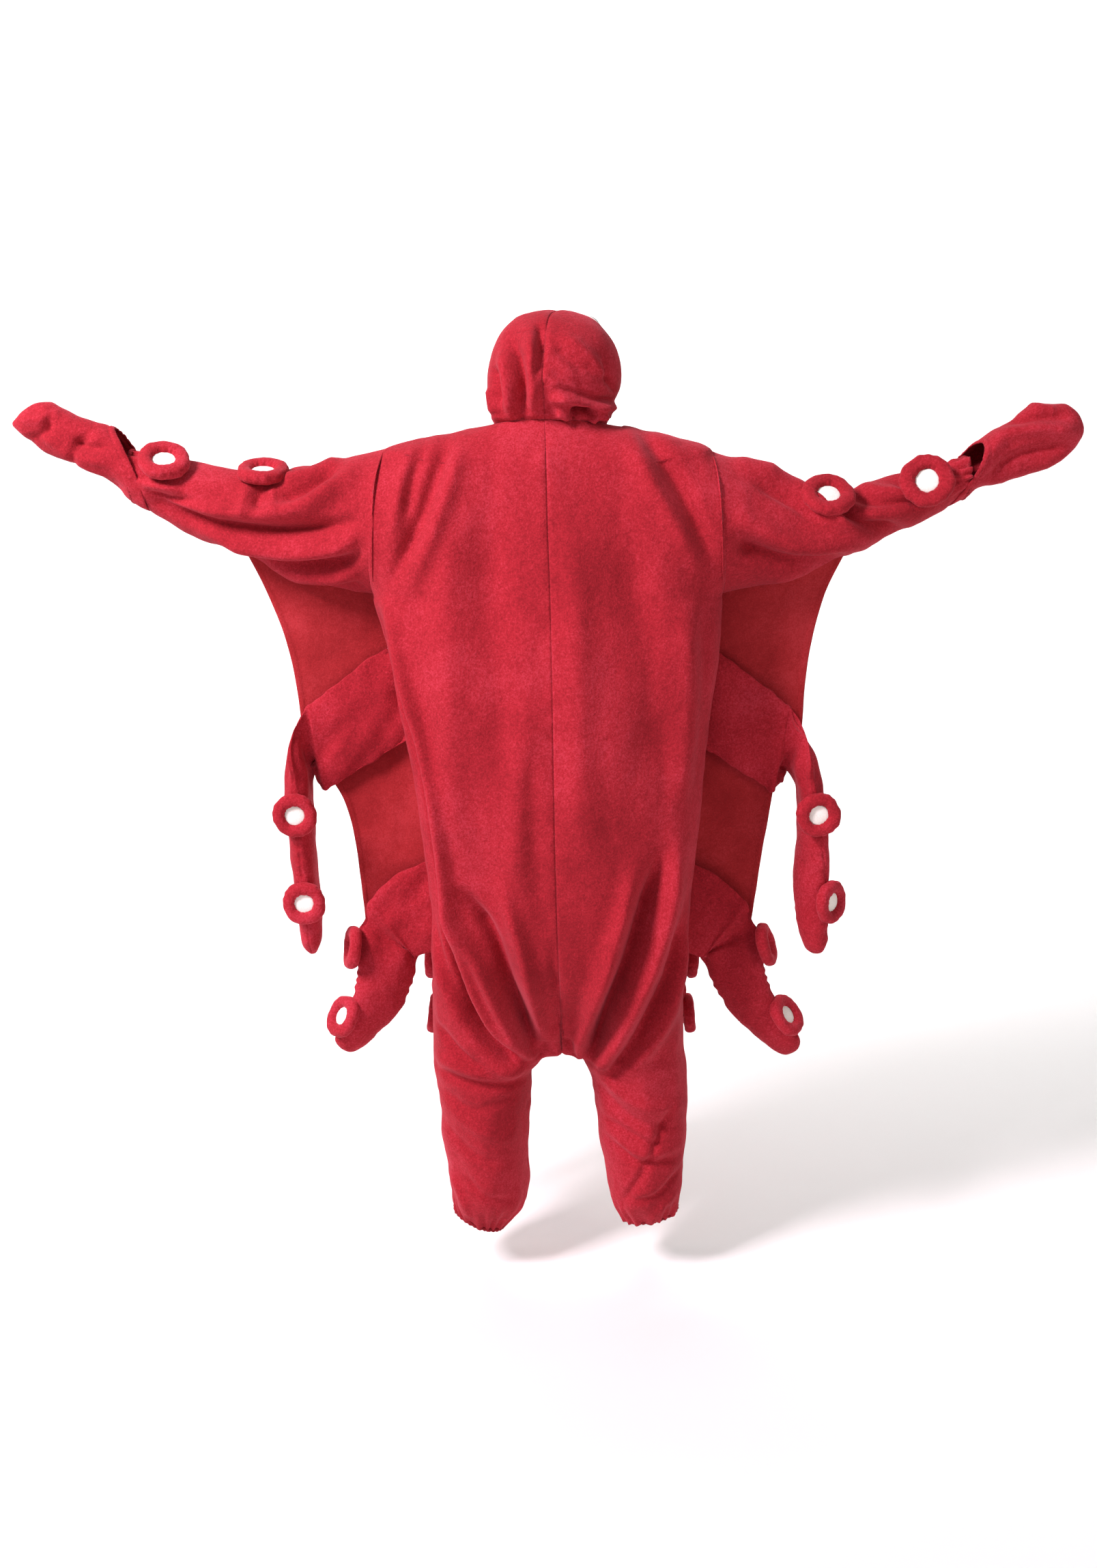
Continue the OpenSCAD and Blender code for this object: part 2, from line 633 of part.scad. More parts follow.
module rings(name) {
    for (t = tent_suckers(name)) on_tentacle(name, t) sucker_ring(ring_r);
}
module discs(name) {
    for (t = tent_suckers(name)) on_tentacle(name, t) sucker_disc(ring_r);
}

suit_panel(L, -1);  // back_panel_left
suit_panel(R, -1);  // back_panel_right
suit_panel(L, 1);  // front_panel_left
suit_panel(R, 1);  // front_panel_right
crotch_gusset();
neck_band();
placket_base();
snap_studs();
placket_flap();
snap_caps();
hood_half_panel(L);  // hood_left
hood_half_panel(R);  // hood_right
hood_facing();
eye_whites();
eye_pupils();
sleeve(L);  // sleeve_left
sleeve(R);  // sleeve_right
wrist_elastic(L);  // wrist_elastic_left
wrist_elastic(R);  // wrist_elastic_right
at_sleeve_suckers(L) sucker_ring(sleeve_ring_r);  // sleeve_rings_left
at_sleeve_suckers(R) sucker_ring(sleeve_ring_r);  // sleeve_rings_right
at_sleeve_suckers(L) sucker_disc(sleeve_ring_r);  // sleeve_discs_left
at_sleeve_suckers(R) sucker_disc(sleeve_ring_r);  // sleeve_discs_right
mitt(L);  // mitt_left
mitt(R);  // mitt_right
leg(L);  // leg_left
leg(R);  // leg_right
ankle_elastic(L);  // ankle_elastic_left
ankle_elastic(R);  // ankle_elastic_right
web_upper(L);  // web_upper_left
web_upper(R);  // web_upper_right
web_lower();
web_front();
bands_upper();
bands_lower();
bands_front();
tentacle_cover("upper_left");  // tentacle_upper_left
tentacle_cover("upper_right");  // tentacle_upper_right
tentacle_cover("lower_left");  // tentacle_lower_left
tentacle_cover("lower_right");  // tentacle_lower_right
tentacle_cover("front_left");  // tentacle_front_left
tentacle_cover("front_right");  // tentacle_front_right
tentacle_fill("upper_left");  // fill_upper_left
tentacle_fill("upper_right");  // fill_upper_right
tentacle_fill("lower_left");  // fill_lower_left
tentacle_fill("lower_right");  // fill_lower_right
tentacle_fill("front_left");  // fill_front_left
tentacle_fill("front_right");  // fill_front_right
rings("upper_left");  // rings_upper_left
rings("upper_right");  // rings_upper_right
rings("lower_left");  // rings_lower_left
rings("lower_right");  // rings_lower_right
rings("front_left");  // rings_front_left
rings("front_right");  // rings_front_right
discs("upper_left");  // discs_upper_left
discs("upper_right");  // discs_upper_right
discs("lower_left");  // discs_lower_left
discs("lower_right");  // discs_lower_right
discs("front_left");  // discs_front_left
discs("front_right");  // discs_front_right
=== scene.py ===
import math

import bmesh
import bpy
import numpy as np
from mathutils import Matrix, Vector, noise
from mathutils.bvhtree import BVHTree
from mathutils.kdtree import KDTree


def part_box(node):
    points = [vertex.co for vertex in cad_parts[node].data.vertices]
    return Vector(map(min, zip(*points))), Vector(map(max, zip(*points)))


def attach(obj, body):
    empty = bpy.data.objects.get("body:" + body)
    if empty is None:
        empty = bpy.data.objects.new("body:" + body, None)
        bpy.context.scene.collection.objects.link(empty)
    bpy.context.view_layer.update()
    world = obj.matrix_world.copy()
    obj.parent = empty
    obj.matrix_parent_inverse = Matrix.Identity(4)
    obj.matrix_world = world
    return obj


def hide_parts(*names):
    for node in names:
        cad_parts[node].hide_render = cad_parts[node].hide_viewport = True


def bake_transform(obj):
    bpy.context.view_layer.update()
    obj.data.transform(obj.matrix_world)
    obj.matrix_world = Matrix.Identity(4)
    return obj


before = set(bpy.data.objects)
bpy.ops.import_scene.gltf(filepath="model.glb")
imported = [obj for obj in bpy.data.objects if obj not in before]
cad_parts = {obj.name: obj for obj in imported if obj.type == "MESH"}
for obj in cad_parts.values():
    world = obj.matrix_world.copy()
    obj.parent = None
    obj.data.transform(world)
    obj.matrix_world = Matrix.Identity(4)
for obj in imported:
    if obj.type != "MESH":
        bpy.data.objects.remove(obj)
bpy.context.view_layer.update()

mm = 0.001
sides = {"left": -1, "right": 1}   # the wearer's left is at -X


# Small helpers

def linear(hexColour):
    parts = [int(hexColour[i:i + 2], 16) / 255 for i in (0, 2, 4)]
    return [c / 12.92 if c <= 0.04045 else ((c + 0.055) / 1.055) ** 2.4 for c in parts] + [1]


def smooth(low, high, x):   # 0 below low, 1 above high
    t = np.clip((x - low) / (high - low), 0, 1)
    return t * t * (3 - 2 * t)


def through(knots, x):   # smooth curve through rows of (x, value, value...)
    knots = np.asarray(knots, float)
    ks, vs = knots[:, 0], knots[:, 1:]
    gap = np.diff(ks)[:, None]
    rise = np.diff(vs, axis=0) / gap
    slope = np.zeros_like(vs)
    slope[0], slope[-1] = rise[0], rise[-1]
    before, after = rise[:-1], rise[1:]
    same = before * after > 0
    heavy, light = 2 * gap[1:] + gap[:-1], gap[1:] + 2 * gap[:-1]
    safe = np.where(same, before, 1), np.where(same, after, 1)
    slope[1:-1] = np.where(same, (heavy + light) / (heavy / safe[0] + light / safe[1]), 0)
    x = np.atleast_1d(np.asarray(x, float))
    i = np.clip(np.searchsorted(ks, x) - 1, 0, len(ks) - 2)
    t = np.clip((x - ks[i]) / gap[i, 0], 0, 1)[:, None]
    value = ((1 + 2 * t) * (1 - t) ** 2 * vs[i] + t * (1 - t) ** 2 * gap[i] * slope[i]
             + t * t * (3 - 2 * t) * vs[i + 1] + t * t * (t - 1) * gap[i] * slope[i + 1])
    return value[:, 0] if value.shape[1] == 1 else value


def ripple(co, size, seed=0):   # noise from -1 to 1, size is the wavelength along each axis in metres
    step = 1 / np.asarray(size, float)
    shift = np.array([seed * 7.3, seed * 3.1, seed * 5.7])
    return np.array([noise.noise(Vector(p)) for p in co * step + shift]) * 1.6


def meshPoints(bm):
    return np.array([v.co for v in bm.verts])


def meshNormals(bm):
    bm.normal_update()
    return np.array([v.normal for v in bm.verts])


def setPoints(bm, points):
    for v, p in zip(bm.verts, points):
        v.co = p


def clothGrid(cols, rows, place):   # a grid whose points are put where place(u, v) says
    bm = bmesh.new()
    bm.loops.layers.uv.new("cloth")
    bmesh.ops.create_grid(bm, x_segments=cols, y_segments=rows, size=0.5, calc_uvs=True)
    spots = meshPoints(bm)[:, :2] + 0.5
    setPoints(bm, place(spots[:, 0], spots[:, 1]))
    return bm


def closeSeams(bm, inside=None):   # welds what meets, and turns the faces away from a point inside
    bmesh.ops.remove_doubles(bm, verts=bm.verts, dist=0.05 * mm)
    bmesh.ops.recalc_face_normals(bm, faces=bm.faces)
    if inside is not None:
        bm.normal_update()
        away = [(f.calc_center_median() - Vector(inside)).dot(f.normal) * f.calc_area() for f in bm.faces]
        if sum(away) < 0:
            bmesh.ops.reverse_faces(bm, faces=bm.faces)


def turnTowards(bm, way):   # turns an open sheet so that its faces look along a direction
    bm.normal_update()
    if sum(f.normal.dot(Vector(way)) for f in bm.faces) < 0:
        bmesh.ops.reverse_faces(bm, faces=bm.faces)


def turnOutwards(bm):   # the same for a closed form
    if bm.calc_volume(signed=True) < 0:
        bmesh.ops.reverse_faces(bm, faces=bm.faces)


def joinParts(parts):   # one mesh from several, with each face marked by the number of its part
    whole = bmesh.new()
    whole.loops.layers.uv.new("cloth")
    mark = whole.faces.layers.int.new("part")
    for number, part in enumerate(parts):
        mesh = bpy.data.meshes.new("part")
        part.to_mesh(mesh)
        part.free()
        first = len(whole.faces)
        whole.from_mesh(mesh)
        bpy.data.meshes.remove(mesh)
        whole.faces.ensure_lookup_table()
        for f in whole.faces[first:]:
            f[mark] = number
    return whole


def cutOut(whole, number):   # a copy of one part
    part = whole.copy()
    mark = part.faces.layers.int["part"]
    bmesh.ops.delete(part, geom=[f for f in part.faces if f[mark] != number], context="FACES")
    return part


def gapTo(co, line):   # distance from every point to the nearest point of a line
    return np.sqrt(((co[:, None, :] - line[None]) ** 2).sum(2)).min(1)


def signedPower(x, power):   # squares a circle's sine or cosine a little
    return np.sign(x) * np.abs(x) ** power


def swell(bm, amount):   # moves each point along its normal
    setPoints(bm, meshPoints(bm) + meshNormals(bm) * np.asarray(amount)[:, None])


def finished(bm, name, material, thick=0):   # thick is the wall of a single cloth
    mesh = bpy.data.meshes.new(name)
    bm.to_mesh(mesh)
    bm.free()
    mesh.polygons.foreach_set("use_smooth", [True] * len(mesh.polygons))
    piece = bpy.data.objects.new(name, mesh)
    bpy.context.scene.collection.objects.link(piece)
    mesh.materials.append(material)
    if thick:
        wall = piece.modifiers.new("wall", "SOLIDIFY")
        wall.thickness = thick
        wall.offset = -1
        wall.use_rim = True
    return piece


def foldField(points, strokes):   # height of all folds at each point, in metres; points are in mm
    total = np.zeros(len(points))
    for height, width, *corners in strokes:
        knots = np.column_stack([np.linspace(0, 1, len(corners)), np.array(corners, float)])
        line = through(knots, np.linspace(0, 1, 3 * len(corners)))
        nearest = np.full(len(points), 1e9)
        along = np.zeros(len(points))
        for i in range(len(line) - 1):
            a, d = line[i], line[i + 1] - line[i]
            t = np.clip(((points - a) @ d) / (d @ d), 0, 1)
            far = ((points - a - t[:, None] * d) ** 2).sum(1)
            closer = far < nearest
            nearest = np.where(closer, far, nearest)
            along = np.where(closer, (i + t) / (len(line) - 1), along)
        fade = np.clip(0.15 + 4 * along, 0, 1) * np.clip(0.3 + 4 * (1 - along), 0, 1)
        total += height * fade * np.exp(-nearest / width ** 2)
    return total * mm


# Materials

def addNode(tree, kind, settings=None, inputs=None):
    node = tree.nodes.new(kind)
    for name, value in (settings or {}).items():
        setattr(node, name, value)
    for name, value in (inputs or {}).items():
        if isinstance(value, bpy.types.NodeSocket):
            tree.links.new(value, node.inputs[name])
        else:
            node.inputs[name].default_value = value
    return node


def newMaterial(name):
    material = bpy.data.materials.new(name)
    material.use_nodes = True
    tree = material.node_tree
    place = addNode(tree, "ShaderNodeTexCoord").outputs["Object"]
    return material, tree, tree.nodes["Principled BSDF"], place


def twoTone(tree, value, low, high):   # blends two colours
    ramp = addNode(tree, "ShaderNodeValToRGB", inputs={"Fac": value})
    ramp.color_ramp.elements[0].color = linear(low)
    ramp.color_ramp.elements[1].color = linear(high)
    return ramp.outputs["Color"]


def clothMaterial(name, look):
    material, tree, shader, place = newMaterial(name)
    # worn, brushed patches about a hand wide
    patch = addNode(tree, "ShaderNodeTexNoise", inputs={
        "Vector": place, "Scale": 1 / (look["patch"] * mm), "Detail": 3, "Roughness": 0.6})
    # the pile lies in small tufts that catch the light
    tuft = addNode(tree, "ShaderNodeTexNoise", inputs={
        "Vector": place, "Scale": 1 / (look["tuft"] * mm), "Detail": 4, "Roughness": 0.7})
    # single fibres, drawn coarser than life so that they show
    fibre = addNode(tree, "ShaderNodeTexNoise", inputs={
        "Vector": place, "Scale": 1 / (look["fibre"] * mm), "Detail": 2, "Roughness": 0.75})
    tufted = addNode(tree, "ShaderNodeMath", {"operation": "MULTIPLY_ADD"}, {
        0: tuft.outputs["Fac"], 1: 0.45, 2: patch.outputs["Fac"]})
    grain = addNode(tree, "ShaderNodeMath", {"operation": "MULTIPLY_ADD"}, {
        0: fibre.outputs["Fac"], 1: 0.95, 2: tufted.outputs[0]})
    spread = addNode(tree, "ShaderNodeMapRange", inputs={
        "Value": grain.outputs[0], "From Min": 0.92, "From Max": 1.5})
    ramp = addNode(tree, "ShaderNodeValToRGB", inputs={"Fac": spread.outputs["Result"]})
    stops = ramp.color_ramp.elements
    stops[0].position, stops[0].color = 0.05, linear(look["deep"])
    stops[1].position, stops[1].color = 0.95, linear(look["light"])
    stops.new(0.5).color = linear(look["body"])
    tree.links.new(ramp.outputs["Color"], shader.inputs["Base Color"])
    pile = addNode(tree, "ShaderNodeBump", inputs={
        "Height": fibre.outputs["Fac"], "Strength": look["pile"], "Distance": 0.0012})
    nap = addNode(tree, "ShaderNodeBump", inputs={
        "Height": tuft.outputs["Fac"], "Normal": pile.outputs["Normal"],
        "Strength": look["nap"], "Distance": 0.004})
    tree.links.new(nap.outputs["Normal"], shader.inputs["Normal"])
    constants = {
        "Roughness": look["rough"], "IOR": 1.46, "Specular IOR Level": 0.25, "Sheen Weight": look["sheen"],
        "Sheen Roughness": 0.45, "Sheen Tint": linear(look["fuzz"])}
    for socket, value in constants.items():
        shader.inputs[socket].default_value = value
    return material


# brushed polyester fleece: dead matt, with a short pile that pales at grazing angles
fleece = clothMaterial("brushedFleece", {
    "deep": "8a1521", "body": "a41e2b", "light": "b93142", "fuzz": "ee7484",
    "patch": 240, "tuft": 9, "fibre": 3.2, "pile": 0.7, "nap": 0.3, "rough": 0.95, "sheen": 0.3})
# thin single-layer fleece pulled flat: smoother, and a touch more orange
webCloth = clothMaterial("webFleece", {
    "deep": "8f1a20", "body": "9e2228", "light": "ae2e36", "fuzz": "e0606a",
    "patch": 120, "tuft": 10, "fibre": 2.6, "pile": 0.35, "nap": 0.22, "rough": 0.92, "sheen": 0.25})
# folded fleece over elastic: painted darker all over, a painted shade standing in for the shadow in its
# gathers
binding = clothMaterial("bindingFleecePaintedShade", {
    "deep": "74141c", "body": "8c1c26", "light": "a02a36", "fuzz": "d05c68",
    "patch": 60, "tuft": 8, "fibre": 2.6, "pile": 0.5, "nap": 0.5, "rough": 0.95, "sheen": 0.3})
# pressed wool-mix felt: smooth, chalky white
whiteFelt = clothMaterial("whiteFelt", {
    "deep": "e9e6de", "body": "f7f5ef", "light": "fdfcf8", "fuzz": "ffffff",
    "patch": 40, "tuft": 5, "fibre": 1.6, "pile": 0.25, "nap": 0.15, "rough": 0.9, "sheen": 0.2})
blackFelt = clothMaterial("blackFelt", {
    "deep": "0e0d0f", "body": "171518", "light": "26242a", "fuzz": "6c6870",
    "patch": 40, "tuft": 5, "fibre": 1.6, "pile": 0.3, "nap": 0.2, "rough": 0.9, "sheen": 0.2})


def studMaterial():   # nickel-plated steel: bright, with fine handling scratches
    material, tree, shader, place = newMaterial("nickelPlate")
    wear = addNode(tree, "ShaderNodeTexNoise", inputs={
        "Vector": place, "Scale": 1 / (1.5 * mm), "Detail": 5, "Roughness": 0.7})
    dull = addNode(tree, "ShaderNodeMapRange", inputs={
        "Value": wear.outputs["Fac"], "To Min": 0.22, "To Max": 0.42})
    tree.links.new(dull.outputs["Result"], shader.inputs["Roughness"])
    tree.links.new(twoTone(tree, wear.outputs["Fac"], "b4b3ae", "d2d1cc"), shader.inputs["Base Color"])
    shader.inputs["Metallic"].default_value = 1
    return material


nickel = studMaterial()
print("materials made")


# Suit: four panels from the neck to the ankles, made as one skin and cut along their seams

suit = {
    "cols": 92, "rows": 330, "thick": 2.6,
    # share of the way down: heights at the side, the back and the front, then the depths behind and before
    "rows_at": [
        (0, 0, 6, -32, 62, 76), (0.04, -6, -20, -50, 78, 92), (0.08, -16, -42, -68, 93, 106),
        (0.12, -41, -66, -88, 104, 114), (0.155, -99, -112, -120, 113, 122),
        (0.194, -160, -163, -166, 123, 132), (0.268, -276, -276, -276, 142, 138.5),
        (0.325, -366, -366, -366, 160, 138.5), (0.388, -465, -465, -465, 169, 138.5),
        (0.467, -589, -589, -589, 170, 138.5), (0.551, -720, -720, -720, 167, 138),
        (0.634, -851, -851, -851, 160, 136), (0.709, -969, -969, -969, 142, 128),
        (0.773, -1069, -1069, -1069, 116, 112), (0.842, -1177, -1177, -1177, 106, 96),
        (0.94, -1330, -1330, -1330, 84, 80), (1, -1424, -1424, -1424, 50, 46)],
    # depth below the nape, then where the middle seam and both outer edges stand
    "edges": [
        (0, -6, -88, 94), (16, -5, -178, 190), (43, -4, -270, 266), (160, -1, -284, 279),
        (276, 3, -290, 287), (366, 5, -278, 285), (465, 7, -262, 271), (589, 9, -236, 256),
        (720, 12, -222, 247), (851, 16, -210, 241), (969, 20, -204, 238), (1069, 23, -204, 243),
        (1177, 23, -198, 251), (1330, 23, -182, 244), (1395, 23, -176, 240), (1424, 23, -174, 238)],
    # where the inner edges of the legs stand; they leave the middle seam at the crotch
    "inner": [
        (1068, 23, 23), (1080, 10, 36), (1086, -2, 48), (1096, -12, 58), (1116, -24, 68),
        (1177, -31, 79), (1330, -40, 101), (1380, -50, 112), (1424, -82, 132)],
    "legDepth": [(850, 118), (1069, 96), (1177, 88), (1330, 78), (1390, 60), (1424, 45)],
    "armTop": -40, "armLow": -276, "armDepth": 102, "roundness": 0.62,
    "legStart": 880, "thigh": 1150, "crotch": 1084, "cuffTop": 1240, "hem": 1424,
    "cuffTilt": {-1: 18, 1: 9}, "cuffRise": {-1: 14, 1: 24},
}


def armOpening(z):   # half depth of the armhole at a height in mm
    middle = (suit["armTop"] + suit["armLow"]) / 2
    half = (suit["armTop"] - suit["armLow"]) / 2
    return suit["armDepth"] * np.sqrt(np.clip(1 - ((z - middle) / half) ** 2, 0, 1))


def evenly(u, angle, depth, width):   # spaces the columns evenly round the section
    fine = np.linspace(0, 1, 90)
    result = np.empty_like(u)
    rows = angle + 1e-6 * width   # the same number for all points of a row
    for row in np.unique(rows):
        chosen = rows == row
        last, deep, wide = angle[chosen][0], depth[chosen][0], width[chosen][0]
        x = wide * np.sin(last * fine) / np.sin(last)
        y = deep * np.cos(last * fine) ** suit["roundness"]
        length = np.concatenate([[0], np.cumsum(np.hypot(np.diff(x), np.diff(y)))])
        result[chosen] = np.interp(u[chosen] * length[-1], length, fine)
    return result


def suitPoint(side, face, u, v):   # u from the middle seam to the side seam, v from the neck to the ankle
    rows = through(suit["rows_at"], v)
    zSide, zMiddle = rows[:, 0], rows[:, 1] if face < 0 else rows[:, 2]
    deep = rows[:, 3] if face < 0 else rows[:, 4]
    edges = through(suit["edges"], -zSide)
    outer = edges[:, 1] if side < 0 else edges[:, 2]
    wide = np.abs(outer - edges[:, 0])
    gap = armOpening(zSide)
    last = np.arccos(np.clip(gap / deep, 0, 1) ** (1 / suit["roundness"]))
    a = last * evenly(u, last, deep, wide)
    cosine = np.clip(np.cos(a), 0, 1)
    z = zSide + (zMiddle - zSide) * cosine ** 1.5
    middle = through(suit["edges"], -z)[:, 0]
    x = middle + (outer - middle) * np.sin(a) / np.sin(last)
    y = face * deep * cosine ** suit["roundness"]
    # below the hips the section closes into a leg
    down = -z
    inner = through(suit["inner"], down)[:, 0 if side < 0 else 1]
    inner = np.where(down < suit["inner"][0][0], middle, inner)
    legMiddle, legHalf = (inner + outer) / 2, np.abs(outer - inner) / 2
    legX = legMiddle - side * legHalf * np.cos(np.pi * u)
    legDeep = through(suit["legDepth"], down)
    legY = face * legDeep * np.sin(np.pi * u)
    start, crotch, hem = suit["legStart"], suit["crotch"], suit["hem"]
    t = np.clip((down - start) / (crotch - start), 0, 1)
    seat = 1 - np.sqrt(1 - t * t)          # the middle seam runs under between the legs
    thigh = smooth(start, suit["thigh"], down)
    near = np.exp(-(u / 0.13) ** 2)
    closing = near * seat + (1 - near) * thigh
    x = x + (legX - x) * smooth(start, crotch, down)
    y = y + (legY - y) * closing
    tilt = suit["cuffTilt"][side] * side * (x - legMiddle) / legHalf
    z = z + smooth(suit["cuffTop"], hem, down) * (suit["cuffRise"][side] + tilt)
    return np.column_stack([x, y, z]) * mm


# Folds of the back, seen from behind: height and half width in mm, then the corners of the line
backFolds = [
    (-13, 13, (-155, -5), (-190, -120), (-245, -240)), (13, 16, (-138, -25), (-168, -130), (-218, -255)),
    (-9, 10, (-196, -24), (-214, -80), (-224, -150)), (8, 12, (-210, -30), (-236, -110), (-250, -180)),
    (-15, 13, (145, -5), (200, -85), (262, -205)), (13, 16, (125, -25), (178, -120), (240, -225)),
    (-13, 34, (-95, -120), (-85, -340), (-75, -565)),
    (15, 30, (-150, -120), (-165, -340), (-160, -565), (-130, -725)),
    (11, 26, (40, -120), (45, -440), (50, -670)), (-12, 30, (120, -130), (160, -375), (185, -565)),
    (-6, 16, (-30, -500), (-24, -640), (-14, -800)), (8, 22, (-44, -420), (-46, -600), (-60, -740)),
    (12, 22, (220, -265), (230, -440), (215, -630)), (-9, 14, (244, -300), (252, -440), (238, -600)),
    (32, 14, (-262, -290), (-240, -400), (-205, -520), (-180, -640), (-168, -770), (-138, -885),
     (-90, -1000), (-36, -1055)),
    (-46, 13, (-284, -300), (-262, -400), (-226, -520), (-202, -640), (-191, -770), (-162, -885),
     (-112, -1005), (-64, -1060)),
    (-22, 34, (-286, -380), (-258, -520), (-240, -640), (-226, -780), (-204, -900)),
    (12, 10, (-256, -560), (-238, -700), (-224, -800), (-190, -930)),
    (-34, 12, (-140, -755), (-90, -830), (-56, -940), (-22, -1050)),
    (30, 13, (-178, -765), (-122, -860), (-80, -965), (-34, -1060)),
    (20, 13, (-78, -735), (-46, -840), (-24, -945), (-4, -1045)),
    (-20, 12, (-220, -805), (-170, -930), (-100, -1035), (-40, -1075)),
    (-42, 14, (188, -690), (152, -820), (98, -980), (66, -1082)),
    (26, 16, (216, -650), (192, -820), (134, -985), (84, -1095)),
    (24, 16, (146, -700), (104, -850), (66, -985), (46, -1075)),
    (-24, 12, (232, -765), (208, -900), (150, -1030), (98, -1110)),
    (16, 14, (238, -850), (206, -985), (150, -1080)),
    (-9, 9, (8, -830), (16, -975), (20, -1070)), (-16, 8, (34, -1030), (44, -1084)),
    (12, 10, (12, -1000), (18, -1080)), (-12, 8, (-6, -1030), (-10, -1082)),
    (-11, 9, (-200, -1100), (-120, -1112), (-34, -1122)),
    (11, 13, (-200, -1078), (-120, -1086), (-30, -1094)),
    (-12, 9, (-196, -1010), (-150, -1060), (-80, -1100)),
    (-5, 9, (-190, -1140), (-130, -1160), (-60, -1140)),
    (-5, 10, (-195, -1190), (-140, -1240), (-70, -1270)),
    (6, 13, (-190, -1160), (-120, -1200), (-50, -1230)),
    (-6, 8, (-150, -1290), (-110, -1330), (-64, -1350)),
    (8, 9, (-186, -1300), (-150, -1350), (-140, -1390)),
    (-8, 11, (75, -1125), (140, -1180), (235, -1210)), (8, 12, (80, -1105), (150, -1150), (240, -1172)),
    (-6, 7, (90, -1190), (150, -1215), (190, -1230)), (-7, 8, (95, -1230), (165, -1265), (230, -1268)),
    (6, 9, (100, -1215), (160, -1245), (236, -1246)), (-9, 8, (224, -1150), (172, -1270), (130, -1360)),
    (-7, 7, (240, -1290), (190, -1330), (150, -1340)), (8, 10, (232, -1330), (196, -1370), (190, -1400)),
]
# The front hangs straighter, with long soft folds on both sides of the placket
frontFolds = [
    (8, 26, (-95, -150), (-110, -420), (-90, -760)), (-8, 22, (-150, -170), (-170, -430), (-140, -800)),
    (9, 24, (-210, -290), (-205, -560), (-170, -860)), (8, 26, (105, -150), (120, -430), (110, -740)),
    (-8, 22, (165, -180), (180, -420), (165, -800)), (9, 24, (225, -290), (225, -560), (195, -850)),
    (-12, 14, (-190, -760), (-120, -930), (-20, -1050)), (11, 16, (-150, -800), (-90, -950), (-10, -1045)),
    (-12, 14, (215, -760), (150, -930), (65, -1055)), (11, 16, (175, -800), (120, -950), (50, -1050)),
    (-8, 11, (-190, -1120), (-110, -1140), (-35, -1150)), (-8, 11, (85, -1150), (160, -1190), (235, -1200)),
    (7, 12, (-180, -1230), (-110, -1260), (-60, -1300)), (7, 12, (110, -1260), (180, -1290), (235, -1330)),
]


# How far the cloth stands off its plain form: along the normal, and in the folds of the back
def suitRelief(co, normal):
    flat, down = co[:, [0, 2]], -co[:, 2]
    folds = foldField(flat, backFolds) * smooth(-0.25, 0.35, -normal[:, 1])
    height = foldField(flat, frontFolds) * smooth(-0.2, 0.35, normal[:, 1])
    metres = co * mm
    calm = 1 - 0.75 * smooth(80, 8, down)   # the yoke lies flat on the shoulders
    height += ripple(metres, (0.085, 0.12, 0.34), 1) * 4.5 * mm * calm
    height += ripple(metres, (0.045, 0.05, 0.13), 2) * 1.8 * mm
    height += np.abs(ripple(metres, (0.06, 0.06, 0.1), 3)) * -2.2 * mm * smooth(700, 1000, down)
    height += ripple(metres, (0.018, 0.018, 0.03), 4) * 0.6 * mm
    legs = smooth(1060, 1140, down)
    height += ripple(metres, (0.06, 0.05, 0.11), 14) * 3.4 * mm * legs
    height -= np.abs(ripple(metres, (0.11, 0.09, 0.13), 15)) * 3 * mm * legs
    # the front stays flat under the placket
    placket = np.exp(-((co[:, 0] - 10) / 34) ** 4) * (normal[:, 1] > 0.2) * smooth(100, 150, down)
    height *= 1 - 0.97 * placket * (1 - smooth(760, 850, down))
    # seams are sunk, and pucker the cloth beside them
    middle = through(suit["edges"], down)[:, 0]
    middleSeam = np.where(down < suit["crotch"], np.abs(co[:, 0] - middle), 99)
    sideSeam = np.abs(co[:, 1]) + 40 * (down < -suit["armLow"])
    seam = np.minimum(middleSeam, sideSeam)
    height -= 1.5 * mm * np.exp(-(seam / 4.2) ** 2) * (0.7 + 0.5 * np.sin(down / 83))
    height += 1.1 * mm * np.exp(-(seam / 11) ** 2) * np.sin(down / 9 + 2 * np.sin(down / 37))
    # the cuffs gather on their elastic
    around = np.arctan2(co[:, 1], co[:, 0] - np.where(co[:, 0] < 23, -120, 190))
    gathers = np.sin(around * 17 + 1.5 * np.sin(around * 5)) * (1 - 0.5 * smooth(1405, 1430, down))
    height += 2.6 * mm * smooth(1335, 1405, down) * gathers
    height += 5 * mm * smooth(1290, 1360, down) * (1 - smooth(1360, 1405, down))
    height *= 1 - 0.85 * smooth(30, 0, down) * (np.abs(co[:, 0]) < 120)
    return height, folds


